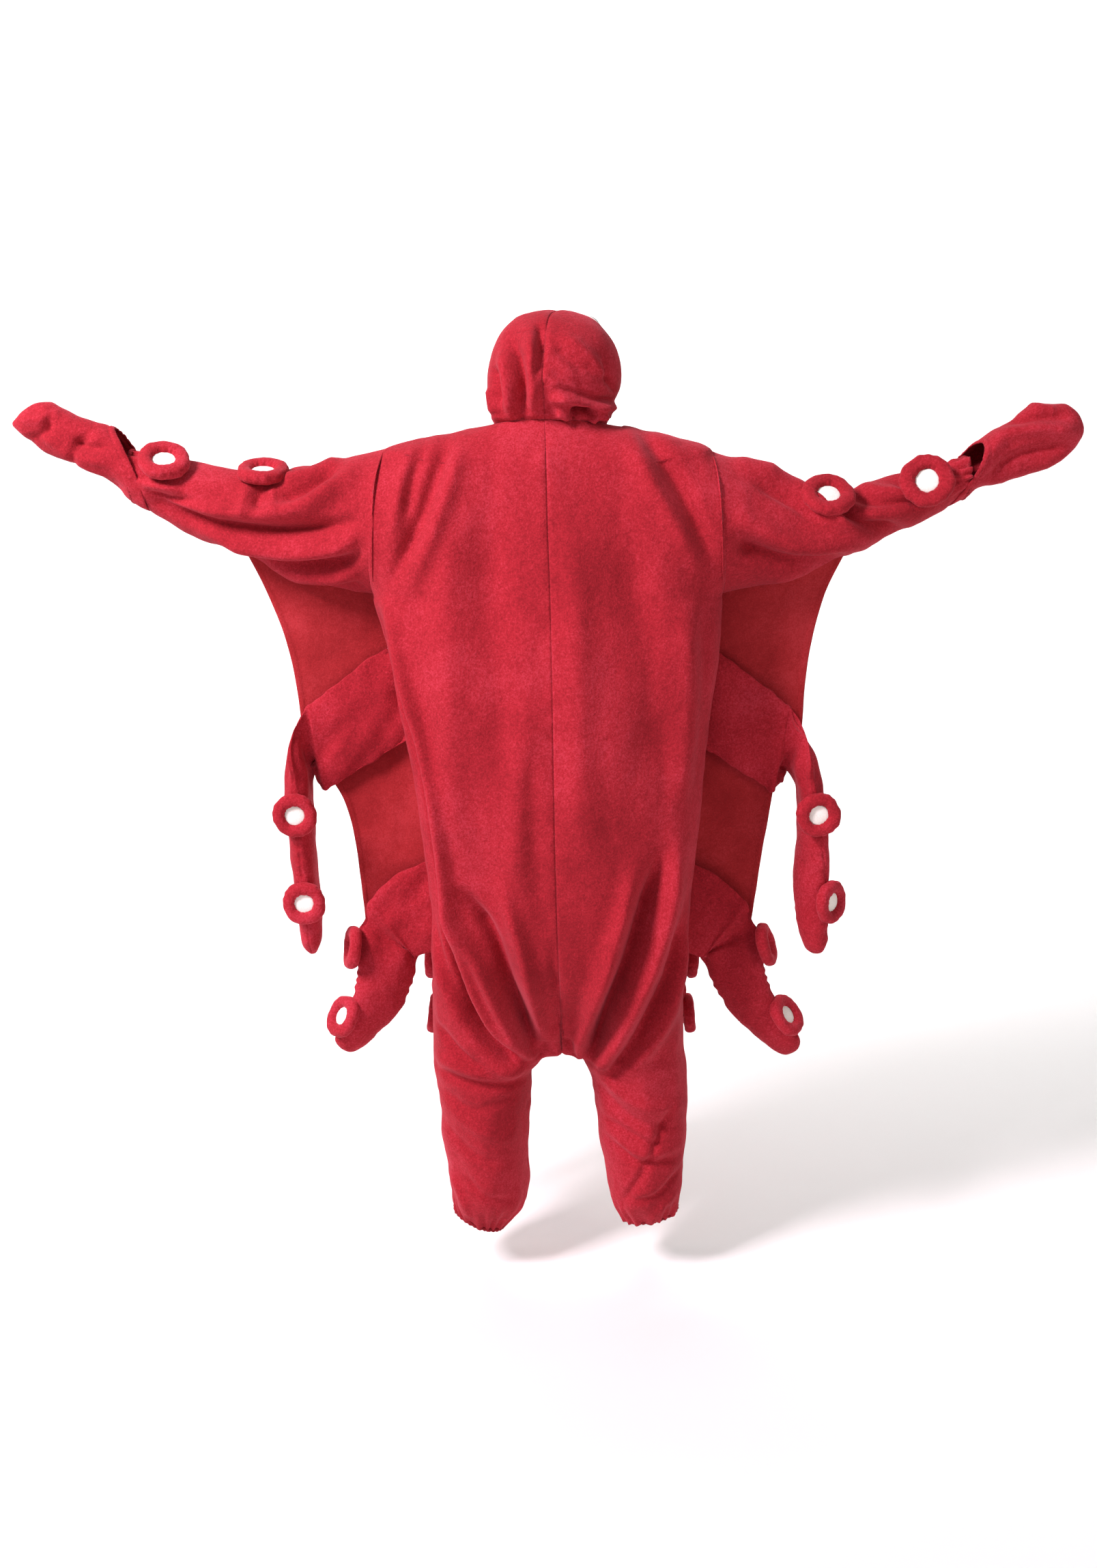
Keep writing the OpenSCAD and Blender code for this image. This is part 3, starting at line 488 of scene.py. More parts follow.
def makeSuitSkin():
    skin = joinParts([clothGrid(suit["cols"], suit["rows"], lambda u, v: suitPoint(side, face, u, v))
                      for side in (-1, 1) for face in (-1, 1)])
    closeSeams(skin)
    co = meshPoints(skin) / mm
    normal = meshNormals(skin)
    # faces look outwards when the normals of the trunk lean away from its middle
    if (normal[:, 1] * co[:, 1])[co[:, 2] > -800].sum() < 0:
        bmesh.ops.reverse_faces(skin, faces=skin.faces)
        normal = meshNormals(skin)
    height, folds = suitRelief(co, normal)
    # the armholes keep their outline
    openings = KDTree(4 * suit["rows"])
    for i, v in enumerate(skin.verts):
        if v.is_boundary and co[i, 2] > -290 and abs(co[i, 0]) > 180:
            openings.insert(v.co, i)
    openings.balance()
    gap = np.array([openings.find(v.co)[2] for v in skin.verts])
    height *= smooth(0, 0.03, gap)
    folds *= smooth(0, 0.05, gap)
    # folds of the back fall away from the body more than they stand square to the cloth
    fall = normal + np.array([0, -1.1, 0])
    fall /= np.maximum(np.linalg.norm(fall, axis=1), 0.2)[:, None]
    setPoints(skin, meshPoints(skin) + normal * height[:, None] + fall * folds[:, None])
    return skin


def cutPanel(skin, number, name, replaced):
    piece = finished(cutOut(skin, number), name, fleece, thick=suit["thick"] * mm)
    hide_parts(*replaced)
    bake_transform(piece)


skin = makeSuitSkin()
cutPanel(skin, 0, "backPanelLeft", ["back_panel_left", "leg_left"])
cutPanel(skin, 1, "frontPanelLeft", ["front_panel_left", "leg_left"])
cutPanel(skin, 2, "backPanelRight", ["back_panel_right", "leg_right", "crotch_gusset"])
cutPanel(skin, 3, "frontPanelRight", ["front_panel_right", "leg_right", "crotch_gusset"])
skin.free()
print("suit panels cut")


# Sleeves and mitts

sleeve = {
    "cols": 128, "rows": 108, "thick": 2.4, "end": 684,
    # distance out from the middle, height of the top and bottom edges, half depth
    "left": [(283, -39, -276, 102), (333, -54, -268, 86), (400, -71, -250, 73), (450, -79, -234, 64),
             (520, -70, -206, 56), (590, -54, -176, 48), (640, -44, -150, 43), (684, -40, -122, 39)],
    "right": [(279, -41, -276, 102), (333, -66, -266, 86), (400, -98, -252, 73), (450, -110, -234, 64),
              (515, -96, -203, 56), (578, -78, -174, 48), (640, -64, -142, 43), (684, -50, -116, 39)],
}
sleeveFolds = {
    "left": [
        (-24, 12, (-296, -149), (-368, -162), (-436, -167), (-490, -162), (-571, -149), (-660, -118)),
        (18, 16, (-300, -63), (-346, -104), (-400, -135), (-467, -146), (-526, -144), (-600, -126)),
        (-14, 10, (-340, -72), (-390, -104), (-430, -120)), (12, 12, (-330, -52), (-380, -76), (-440, -96)),
        (-20, 10, (-290, -194), (-346, -221), (-413, -225), (-472, -218), (-540, -192)),
        (18, 13, (-290, -172), (-346, -198), (-413, -203), (-481, -196), (-560, -168)),
        (13, 11, (-300, -236), (-360, -244), (-430, -234), (-500, -208)),
        (-10, 8, (-290, -258), (-340, -262), (-400, -252)),
        (-8, 7, (-463, -99), (-468, -138)), (6, 9, (-484, -98), (-494, -150)),
        (5, 8, (-444, -100), (-438, -140)),
        (-10, 7, (-640, -76), (-682, -92)), (11, 8, (-590, -106), (-640, -98), (-690, -86)),
        (-12, 7, (-560, -124), (-630, -112), (-690, -100))],
    "right": [
        (20, 14, (290, -52), (350, -80), (401, -104), (430, -126), (468, -150), (516, -172)),
        (-20, 10, (452, -122), (488, -146), (530, -164), (580, -170)),
        (-24, 15, (275, -166), (331, -198), (385, -218), (434, -221), (496, -206)),
        (16, 20, (287, -140), (362, -178), (416, -198), (470, -200), (530, -186)),
        (-10, 9, (480, -104), (530, -122), (600, -120)), (10, 10, (500, -96), (560, -108), (640, -100)),
        (-9, 8, (330, -90), (380, -118), (430, -150)), (-8, 8, (560, -92), (590, -112), (596, -136)),
        (8, 5, (650, -62), (694, -58)), (8, 5, (650, -74), (694, -70)), (8, 5, (650, -86), (694, -82)),
        (-8, 4, (650, -68), (694, -64)), (-8, 4, (650, -80), (694, -76)), (-8, 4, (650, -92), (694, -88))],
}
mitt = {
    "cols": 120, "rows": 84, "thick": 2.4,
    # distance out, height of the top and bottom edges, half depth
    "left": [(650, -44, -142, 41), (681, -22, -125, 43), (703, -8, -106, 41), (755, 10, -76, 35),
             (786, 24, -58, 32), (813, 35, -44, 30), (849, 26, -24, 26), (868, 14, -14, 22)],
    "right": [(650, -62, -135, 40.5), (681, -42, -120, 43), (702, -26, -108, 40), (750, 6, -88, 34),
              (796, 32, -70, 32), (834, 34, -60, 31), (868, 20, -42, 26)],
    # the cuff's edge: distance out underneath, how far it slants back, turn from the top, sharpness
    "edge": {"left": (656, 50, 0, 2.6), "right": (656, 48, 0.75, 2.0)},
}
mittFolds = {
    "left": [(-13, 8, (-704, -34), (-740, -38), (-768, -22)),
             (12, 9, (-700, -66), (-770, -46), (-820, -16)),
             (-14, 8, (-735, -10), (-762, -38), (-770, -62)), (11, 9, (-790, 20), (-820, 6), (-850, 10)),
             (-10, 7, (-800, 28), (-806, -10), (-840, -24)), (10, 8, (-720, -84), (-780, -52), (-836, -34)),
             (-9, 7, (-668, -112), (-730, -88), (-790, -54))],
    "right": [(19, 10, (690, -66), (745, -16), (800, -8), (850, -14)),
              (-16, 9, (705, -88), (770, -46), (846, -36)),
              (-12, 8, (740, -2), (790, 10), (840, 12)), (12, 10, (720, -100), (780, -74), (830, -56)),
              (-9, 7, (668, -110), (720, -104), (770, -84)), (9, 8, (780, 26), (820, 22))],
}


def sleevePoint(name, t, a):   # t from root to end, a from the underside round over the back
    knots = sleeve[name]
    x = knots[0][0] - 4 + (sleeve["end"] - knots[0][0] + 4) * t
    top, bottom, deep = through(knots, x).T
    flat = 1 - 0.12 * np.cos(2 * a) * smooth(0, 0.5, t)
    cover = 3 * (1 - smooth(0, 0.08, t))   # the root laps over the edge of the suit
    z = (top + bottom) / 2 - ((top - bottom) / 2 + cover) * np.cos(a)
    y = -(deep + cover) * np.sin(a) * flat
    # the root follows the outline of the armhole
    edge = through(suit["edges"], -z)[:, 1 if sides[name] < 0 else 2]
    x = x + (np.abs(edge) - 3 - x) * (1 - smooth(0, 0.1, t))
    return np.column_stack([sides[name] * x, y, z]) * mm


sleeveTrees = {}


def makeSleeve(name):
    bm = clothGrid(sleeve["cols"], sleeve["rows"], lambda u, v: sleevePoint(name, v, 2 * np.pi * u))
    closeSeams(bm, (sides[name] * 0.45, 0, -0.15))
    co, normal = meshPoints(bm) / mm, meshNormals(bm)
    out = np.abs(co[:, 0])
    root = smooth(283, 320, out)
    behind = smooth(-0.25, 0.3, -normal[:, 1])
    middle = through(sleeve[name], out)[:, :2].sum(1) / 2
    around = np.arctan2(co[:, 1], co[:, 2] - middle)
    shown = np.exp(-(((around + mitt["edge"][name][2]) / 1.1) ** 2))   # inside the mitt's opening
    height = foldField(co[:, [0, 2]], sleeveFolds[name]) * behind * (0.25 + 0.75 * root)
    height *= 1 - (1 - shown) * smooth(628, 658, out)
    front = [(h * 0.8, w, *[(x, z + 12) for x, z in line]) for h, w, *line in sleeveFolds[name][:5]]
    height += foldField(co[:, [0, 2]], front) * smooth(0, 0.4, normal[:, 1]) * root
    height += ripple(co * mm, (0.13, 0.07, 0.05), 5) * 3.5 * mm * root
    height += ripple(co * mm, (0.05, 0.035, 0.025), 6) * 1.4 * mm * root
    height += ripple(co * mm, (0.018, 0.018, 0.018), 7) * 0.4 * mm
    # the end gathers on its elastic
    pull = smooth(628, 676, out)
    gathers = np.sin(around * 15 + 1.3 * np.sin(around * 4))
    height += 3 * mm * pull * shown * gathers - 3 * mm * smooth(645, 670, out)
    start = sleevePoint(name, np.zeros(60), np.linspace(0, 2 * np.pi, 60)) / mm
    gap = gapTo(co, start)
    height *= smooth(2, 36, gap)
    height -= 1.1 * mm * np.exp(-((gap - 5) / 4) ** 2)        # the armhole seam
    swell(bm, height)
    sleeveTrees[name] = BVHTree.FromBMesh(bm)
    piece = finished(bm, "sleeve" + name.title(), fleece, thick=sleeve["thick"] * mm)
    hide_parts("sleeve_" + name)
    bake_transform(piece)


def mittPoint(name, t, a):
    knots = mitt[name]
    under, slant, turn, sharp = mitt["edge"][name]
    high = knots[-1][0] + 4
    opening = under + slant * (0.5 - 0.5 * np.cos(a + turn)) ** sharp
    x = opening + (high - opening) * (1 - (1 - t) ** 1.15)
    top, bottom, deep = through(knots, x).T
    close = np.sqrt(np.clip(1 - np.clip((x - high + 44) / 44, 0, 1) ** 2.6, 0, 1))
    z = (top + bottom) / 2 - (top - bottom) / 2 * np.cos(a) * close
    y = -deep * np.sin(a) * close
    return np.column_stack([sides[name] * x, y, z]) * mm


def makeMitt(name):
    bm = clothGrid(mitt["cols"], mitt["rows"], lambda u, v: mittPoint(name, v, 2 * np.pi * u))
    closeSeams(bm, (sides[name] * 0.76, 0, -0.03))
    co = meshPoints(bm) / mm
    out = np.abs(co[:, 0])
    height = foldField(co[:, [0, 2]], mittFolds[name])
    height *= 0.6 * smooth(672, 706, out)
    height += ripple(co * mm, (0.07, 0.05, 0.045), 8) * 2.2 * mm
    height += ripple(co * mm, (0.02, 0.02, 0.02), 9) * 0.8 * mm
    height -= 1.6 * mm * np.exp(-(co[:, 1] / 2.6) ** 2) * smooth(705, 720, out)   # seam round the hand
    # a turned hem along the opening
    rim = co[np.array([v.is_boundary for v in bm.verts])]
    gap = gapTo(co, rim[::3])
    loose = smooth(668, 690, out)   # underneath, the mitt is sewn down
    height += (1.6 * mm * smooth(11, 7, gap) - 0.9 * mm * np.exp(-((gap - 11) / 2) ** 2)) * loose
    swell(bm, height * smooth(-2, 4, gap))
    piece = finished(bm, "mitt" + name.title(), fleece, thick=mitt["thick"] * mm)
    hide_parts("mitt_" + name)
    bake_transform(piece)


for name in sides:
    makeSleeve(name)
    makeMitt(name)
print("sleeves and mitts made")


# Tubes of gathered cloth: elastics, the neck band and the binding of the face opening

def softTube(path, radius, puckers, tuck, rows, cols=20, closed=True):
    path = np.asarray(path, float)
    count = len(path)
    knots = np.vstack([path, path[:1]]) if closed else path
    places = np.linspace(0, 1, len(knots))
    if closed:   # a few points beyond both ends keep the joint smooth
        knots = np.vstack([path[-3:], knots, path[1:4]])
        places = np.concatenate([places[:3] - 3 / count, places, places[-3:] + 3 / count])
    table = np.column_stack([places, knots])
    middle = path.mean(0)

    def place(u, v):
        spot, ahead = through(table, v), through(table, v + 1e-3)
        behind = through(table, v - 1e-3)
        run = ahead - behind
        run /= np.linalg.norm(run, axis=1)[:, None]
        out = spot - middle
        out -= (out * run).sum(1)[:, None] * run
        out /= np.linalg.norm(out, axis=1)[:, None]
        up = np.cross(run, out)
        a = 2 * np.pi * u
        fat = radius * (1 + tuck * np.sin(2 * np.pi * puckers * v + 1.4 * np.sin(9 * v)))
        return spot + (np.cos(a) * fat)[:, None] * out + (np.sin(a) * fat)[:, None] * up

    bm = clothGrid(cols, rows, place)
    closeSeams(bm)
    if not closed:
        bmesh.ops.holes_fill(bm, edges=[e for e in bm.edges if e.is_boundary])
    turnOutwards(bm)
    return bm


# radius in metres, number of puckers round the tube and how deep they are
tubes = {
    "wrist": {"radius": 0.0042, "rows": 220, "puckers": 34, "tuck": 0.16},
    "ankle": {"radius": 0.0034, "rows": 240, "puckers": 30, "tuck": 0.2},
    "facing": {"radius": 0.0058, "rows": 300, "puckers": 46, "tuck": 0.1, "closed": False},
    "neck": {"radius": 0.0042, "rows": 300, "puckers": 40, "tuck": 0.12},
}


def makeTube(kind, path, name, node):
    tube = finished(softTube(path, **tubes[kind]), name, binding)
    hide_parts(node)
    return tube


def makeCuffs(name):
    side = sides[name]
    around = np.linspace(0, 2 * np.pi, 24, endpoint=False)
    # wrist: an elastic in the slot between the sleeve and the mitt
    top, bottom, deep = through(sleeve[name], [678])[0]
    ring = [(side * 0.68, 0.88 * deep * mm * math.sin(a),
             ((top + bottom) / 2 + (top - bottom) / 2.15 * math.cos(a)) * mm) for a in around]
    wrist = makeTube("wrist", ring, "wristElastic" + name.title(), "wrist_elastic_" + name)
    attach(wrist, "sleeve_" + name)
    # ankle: the rolled edge of the trouser leg
    inner = through(suit["inner"], [1420])[0][0 if side < 0 else 1]
    outer = through(suit["edges"], [1420])[0][1 if side < 0 else 2]
    middle, half = (inner + outer) / 2, abs(outer - inner) / 2
    half -= 4
    rise, tilt = suit["cuffRise"][side], suit["cuffTilt"][side]
    ring = [((middle + side * half * math.cos(a)) * mm, 0.044 * math.sin(a),
             (-1421 + rise + tilt * math.cos(a)) * mm) for a in around]
    ankle = makeTube("ankle", ring, "ankleElastic" + name.title(), "ankle_elastic_" + name)
    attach(ankle, "leg_" + name)


for name in sides:
    makeCuffs(name)
print("cuffs made")


# Hood: two halves joined over the head, bound round the face

hood = {
    "cols": 130, "rows": 120, "thick": 2.6, "middle": (20, 62), "nape": 205, "brow": 62, "lift": 24,
    # angle round the head, reach of the middle seam
    "reach": [(62, 124), (90, 119), (135, 124), (180, 116), (205, 100)],
    # share of the way from nape to brow: middle seam, left edge, right edge
    "sides": [
        (0, -9, -92, 98), (0.25, -9, -96, 113), (0.45, -4, -98, 119), (0.62, 4, -96, 118),
        (0.8, 14, -92, 113), (1, 14, -88, 108)],
    # depth and height of the seam at the nape and of the throat, and how far the throat moves to the brow
    "seam": (-70.6, 19.7), "throat": (82, -25), "throatMoves": (12, 27),
}
hoodFolds = [
    (-16, 9, (-60, 132), (-47, 89), (-40, 58), (-42, 14)), (13, 11, (-30, 140), (-24, 80), (-24, 20)),
    (14, 10, (-72, 112), (-62, 60), (-58, 12)), (-10, 7, (-14, 154), (-12, 120), (-22, 60)),
    (-11, 7, (-86, 90), (-76, 30)), (10, 9, (-90, 60), (-84, 14)),
    (-6, 9, (7, 118), (33, 98), (60, 76)), (6, 10, (20, 134), (60, 104), (94, 66)),
    (-4, 7, (2, 80), (30, 62), (60, 52)), (4, 9, (0, 66), (24, 52), (50, 46)),
    (-5, 6, (56, 92), (74, 74), (110, 62)), (-11, 5, (10, 56), (45, 45), (81, 37), (113, 38)),
    (17, 7, (0, 36), (26, 40), (56, 32), (80, 26), (110, 27)),
    (-30, 6, (72, 15), (58, 20), (44, 17), (34, 8)), (13, 6, (40, 2), (26, 14), (10, 20)),
    (16, 6, (64, 4), (76, 14), (92, 12)), (-14, 4, (78, 2), (88, 4), (100, 8)),
    (-6, 5, (84, 100), (96, 64), (112, 48)),
]


def hoodPoint(side, s, v):   # s from the middle seam round to the throat, v from the nape to the brow
    angle = np.radians(hood["nape"] + (hood["brow"] - hood["nape"]) * v)
    reach = through(hood["reach"], np.degrees(angle))
    seamY, seamZ = hood["middle"][0] + reach * np.cos(angle), hood["middle"][1] + reach * np.sin(angle)
    backY, backZ = hood["seam"]
    frontY, frontZ = hood["throat"]
    throatY, throatZ = frontY + hood["throatMoves"][0] * v, frontZ + hood["throatMoves"][1] * v
    a = np.radians(172) * s
    columns = through(hood["sides"], v)
    middle = columns[:, 0]
    edge = columns[:, 1] if side < 0 else columns[:, 2]
    x = middle + (edge - middle) * np.sin(a) ** 0.9
    y = (seamY + throatY) / 2 + (seamY - throatY) / 2 * np.cos(a)
    z = (seamZ + throatZ) / 2 + (seamZ - throatZ) / 2 * np.cos(a) + hood["lift"] * np.sin(a) * (1 - v) ** 2
    # the first row is the neck seam of the suit
    around = np.radians(180) * s
    turned = np.where(around < np.pi / 2, around, np.pi - around)
    rows = suit["rows_at"][0]
    cosine = np.cos(turned)
    ringY = np.where(around < np.pi / 2, -rows[4], rows[5]) * np.clip(cosine, 0, 1) ** suit["roundness"]
    ringZ = np.where(around < np.pi / 2, rows[2], rows[3]) * np.clip(cosine, 0, 1) ** 1.5
    neck = suit["edges"][0]
    ringX = neck[1] + ((neck[2] if side < 0 else neck[3]) - neck[1]) * np.sin(turned)
    hold = 1 - smooth(0, 0.22, v)
    startY = (backY + frontY) / 2 + (backY - frontY) / 2 * np.cos(a)
    startZ = (backZ + frontZ) / 2 + (backZ - frontZ) / 2 * np.cos(a) + hood["lift"] * np.sin(a)
    first = hood["sides"][0]
    startX = first[1] + ((first[2] if side < 0 else first[3]) - first[1]) * np.sin(a) ** 0.9
    x, y, z = x + (ringX - startX) * hold, y + (ringY - startY) * hold, z + (ringZ - startZ) * hold
    return np.column_stack([x, y, z]) * mm


def makeHood():
    whole = joinParts([clothGrid(hood["cols"], hood["rows"], lambda u, v: hoodPoint(side, u, v))
                       for side in (-1, 1)])
    mark = whole.faces.layers.int["part"]
    closeSeams(whole, (0.01, 0.02, 0.06))
    co, normal = meshPoints(whole) / mm, meshNormals(whole)
    behind = smooth(-0.3, 0.4, -normal[:, 1] + 0.5 * smooth(100, 150, co[:, 2]))
    height = foldField(co[:, [0, 2]], hoodFolds) * behind
    height += ripple(co * mm, (0.06, 0.06, 0.09), 11) * 2.4 * mm
    height += ripple(co * mm, (0.025, 0.025, 0.04), 12) * 0.8 * mm
    line = co[np.array([len({f[mark] for f in v.link_faces}) > 1 for v in whole.verts])]
    seam = gapTo(co, line[::2])
    height -= 1.7 * mm * np.exp(-(seam / 3.6) ** 2)
    height += 0.9 * mm * np.exp(-(seam / 10) ** 2) * np.sin(co[:, 2] / 5)
    base = np.array([v.is_boundary for v in whole.verts]) & (co[:, 2] < 12)
    gap = gapTo(co, co[base][::2])
    roll = 2.5 * mm * np.exp(-((gap - 9) / 6) ** 2)   # above the neck seam
    height = height * smooth(-1, 5, gap) + roll
    setPoints(whole, meshPoints(whole) + normal * height[:, None])
    tree = BVHTree.FromBMesh(whole)
    for number, name in enumerate(sides):
        piece = finished(cutOut(whole, number), "hood" + name.title(), fleece,
                         thick=hood["thick"] * mm)
        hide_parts("hood_" + name)
        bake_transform(piece)
    whole.free()
    return tree


hoodTree = makeHood()


def makeHoodTrims():
    # binding round the face
    ends = np.linspace(0.99, 0, 22)
    left = hoodPoint(-1, ends, np.full(22, 1.0))
    right = hoodPoint(1, ends[::-1], np.full(22, 1.0))[1:]
    path = np.vstack([left, right])
    facing = makeTube("facing", path + np.array([0, 0.003, 0]), "hoodFacing", "hood_facing")
    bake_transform(facing)
    # the neck seam is bound inside
    turn = np.linspace(0, 1, 20)
    ring = np.vstack([hoodPoint(1, turn, np.zeros(20)), hoodPoint(-1, turn[::-1], np.zeros(20))[1:-1]])
    centre = ring.mean(0)
    ring = centre + (ring - centre) * np.array([0.95, 0.95, 1])
    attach(makeTube("neck", ring + np.array([0, 0, 0.002]), "neckBand", "neck_band"), "suit")


makeHoodTrims()


# Where the eyes sit on the hood, as shares of the way round and of the way to the brow; sizes in metres
eye = {
    "around": 0.2, "up": 0.91,
    "white": {"radius": 0.024, "dome": 0.0025, "rows": 14, "lift": 0.0026},
    "pupil": {"radius": 0.012, "dome": 0.0018, "rows": 9, "lift": 0.0056},
}


def makeFacePatch(name, node, shape, material, centre, towards):   # a round patch laid on the hood
    turn = towards.to_track_quat("Z", "Y").to_matrix()

    def place(u, v):
        a = 2 * np.pi * u
        r = shape["radius"] * v * (1 + 0.012 * np.sin(7 * a))
        h = shape["dome"] * (1 - v ** 3)
        spots = []
        for angle, reach, high in zip(a, r, h):
            flat = centre + turn @ Vector((reach * math.cos(angle), reach * math.sin(angle), 0))
            hit = hoodTree.ray_cast(flat + towards * 0.05, -towards)[0]
            base = hit if hit is not None else flat
            spots.append(base + towards * (shape["lift"] + high))
        return np.array(spots)

    bm = clothGrid(48, shape["rows"], place)
    closeSeams(bm)
    turnTowards(bm, towards)
    patch = finished(bm, name, material, thick=0.0016)
    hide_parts(node)
    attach(patch, "hood")


def makeEyes():
    around, up = eye["around"], eye["up"]
    for name, side in sides.items():
        here, across, ahead = (hoodPoint(side, np.array([s]), np.array([v]))[0] for s, v in
                               ((around, up), (around + 0.02, up), (around, up + 0.02)))
        out = Vector(np.cross(across - here, ahead - here) * side).normalized()
        if out.z < 0:
            out = -out
        makeFacePatch("eyeWhite" + name.title(), "eye_whites", eye["white"], whiteFelt,
                      Vector(here), out)
        makeFacePatch("eyePupil" + name.title(), "eye_pupils", eye["pupil"], blackFelt,
                      Vector(here), out)


makeEyes()
print("hood made")


# Suckers: a stuffed ring round a flat disc; the hole is a share of the radius, the rest is in mm

sucker = {
    "cols": 110, "section": 36, "hole": 0.43, "high": 21, "puckers": 13, "radius": 38, "sleeveRadius": 43}


def makeSucker(name, body, radius, centre, out, replaced, seed):
    out = Vector(out).normalized()
    turn = out.to_track_quat("Z", "Y").to_matrix()
    r = radius * mm
    hole = r * sucker["hole"]
    fat = (r - hole) / 2
    high = sucker["high"] * mm / 2

    def place(u, v):
        a, b = 2 * np.pi * u, 2 * np.pi * v
        # stuffing bulges between the gathers of the inner and outer seams
        lumps = np.sin(a * sucker["puckers"] + 1.7 * np.sin(a * 3 + seed))
        edge = np.abs(np.cos(b)) ** 2
        swollen = 1 + 0.05 * np.sin(a * 2 + seed) + 0.045 * lumps * edge
        x = (hole + fat) + fat * signedPower(np.cos(b), 0.85) * swollen
        z = high + high * signedPower(np.sin(b), 0.9) * swollen
        z = z - 0.0012 * np.exp(-((b - 0.25) / 0.18) ** 2)
        squash = 1 + 0.03 * np.sin(2 * a + seed)
        local = np.column_stack([x * np.cos(a) * squash, x * np.sin(a) / squash, z])
        return local @ np.array(turn).T + np.array(centre)

    bm = clothGrid(sucker["cols"], sucker["section"], place)
    closeSeams(bm)
    turnOutwards(bm)
    co = meshPoints(bm)
    lumps = ripple(co, (0.02, 0.02, 0.02), seed) * 0.0007
    swell(bm, lumps + ripple(co, (0.009, 0.009, 0.009), seed + 1) * 0.0003)
    ring = finished(bm, name + "Ring", fleece)
    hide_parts(replaced[0])
    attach(ring, body)

    def discPlace(u, v):
        a = 2 * np.pi * u
        reach = (hole + 2.4 * mm) * v * (1 + 0.015 * np.sin(5 * a + seed) + 0.01 * np.sin(11 * a))
        z = high * 1.15 + 2.2 * mm * (1 - v ** 2) - 3.5 * mm * np.clip((v - 0.86) / 0.14, 0, 1) ** 2
        local = np.column_stack([reach * np.cos(a), reach * np.sin(a), z])
        return local @ np.array(turn).T + np.array(centre)

    bm = clothGrid(64, 16, discPlace)
    closeSeams(bm)
    turnTowards(bm, out)
    disc = finished(bm, name + "Disc", whiteFelt, thick=0.0018)
    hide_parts(replaced[1])
    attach(disc, body)


# Where suckers sit on a sleeve: distance out, turn from straight up to the back, how far each faces back
sleeveSuckers = {"left": [(622, 38, 0), (463, 20, 0)], "right": [(610, 62, 0.7), (450, 42, 0)]}
for name, side in sides.items():
    for number, (out, lean, facing) in enumerate(sleeveSuckers[name]):
        top, bottom = through(sleeve[name], out)[0][:2]
        middle = Vector((side * out, 0, (top + bottom) / 2)) * mm
        way = Vector((0, -math.sin(math.radians(lean)), math.cos(math.radians(lean))))
        spot = sleeveTrees[name].ray_cast(middle + way * 0.3, -way)[0]
        slope = (through(sleeve[name], out + 25)[0][0] - through(sleeve[name], out - 25)[0][0]) / 50
        normal = way + Vector((-side * slope, -facing, 0)) * 0.8
        normal.normalize()
        makeSucker(f"sleeveSucker{name.title()}{number + 1}", "sleeve_" + name, sucker["sleeveRadius"],
                   spot - normal * 0.001, normal, ("sleeve_rings_" + name, "sleeve_discs_" + name),
                   number + 2 * side)
print("sleeve suckers made")


# Tentacles: a stuffed arm that leaves the side seam as a flat band and hangs from its bend

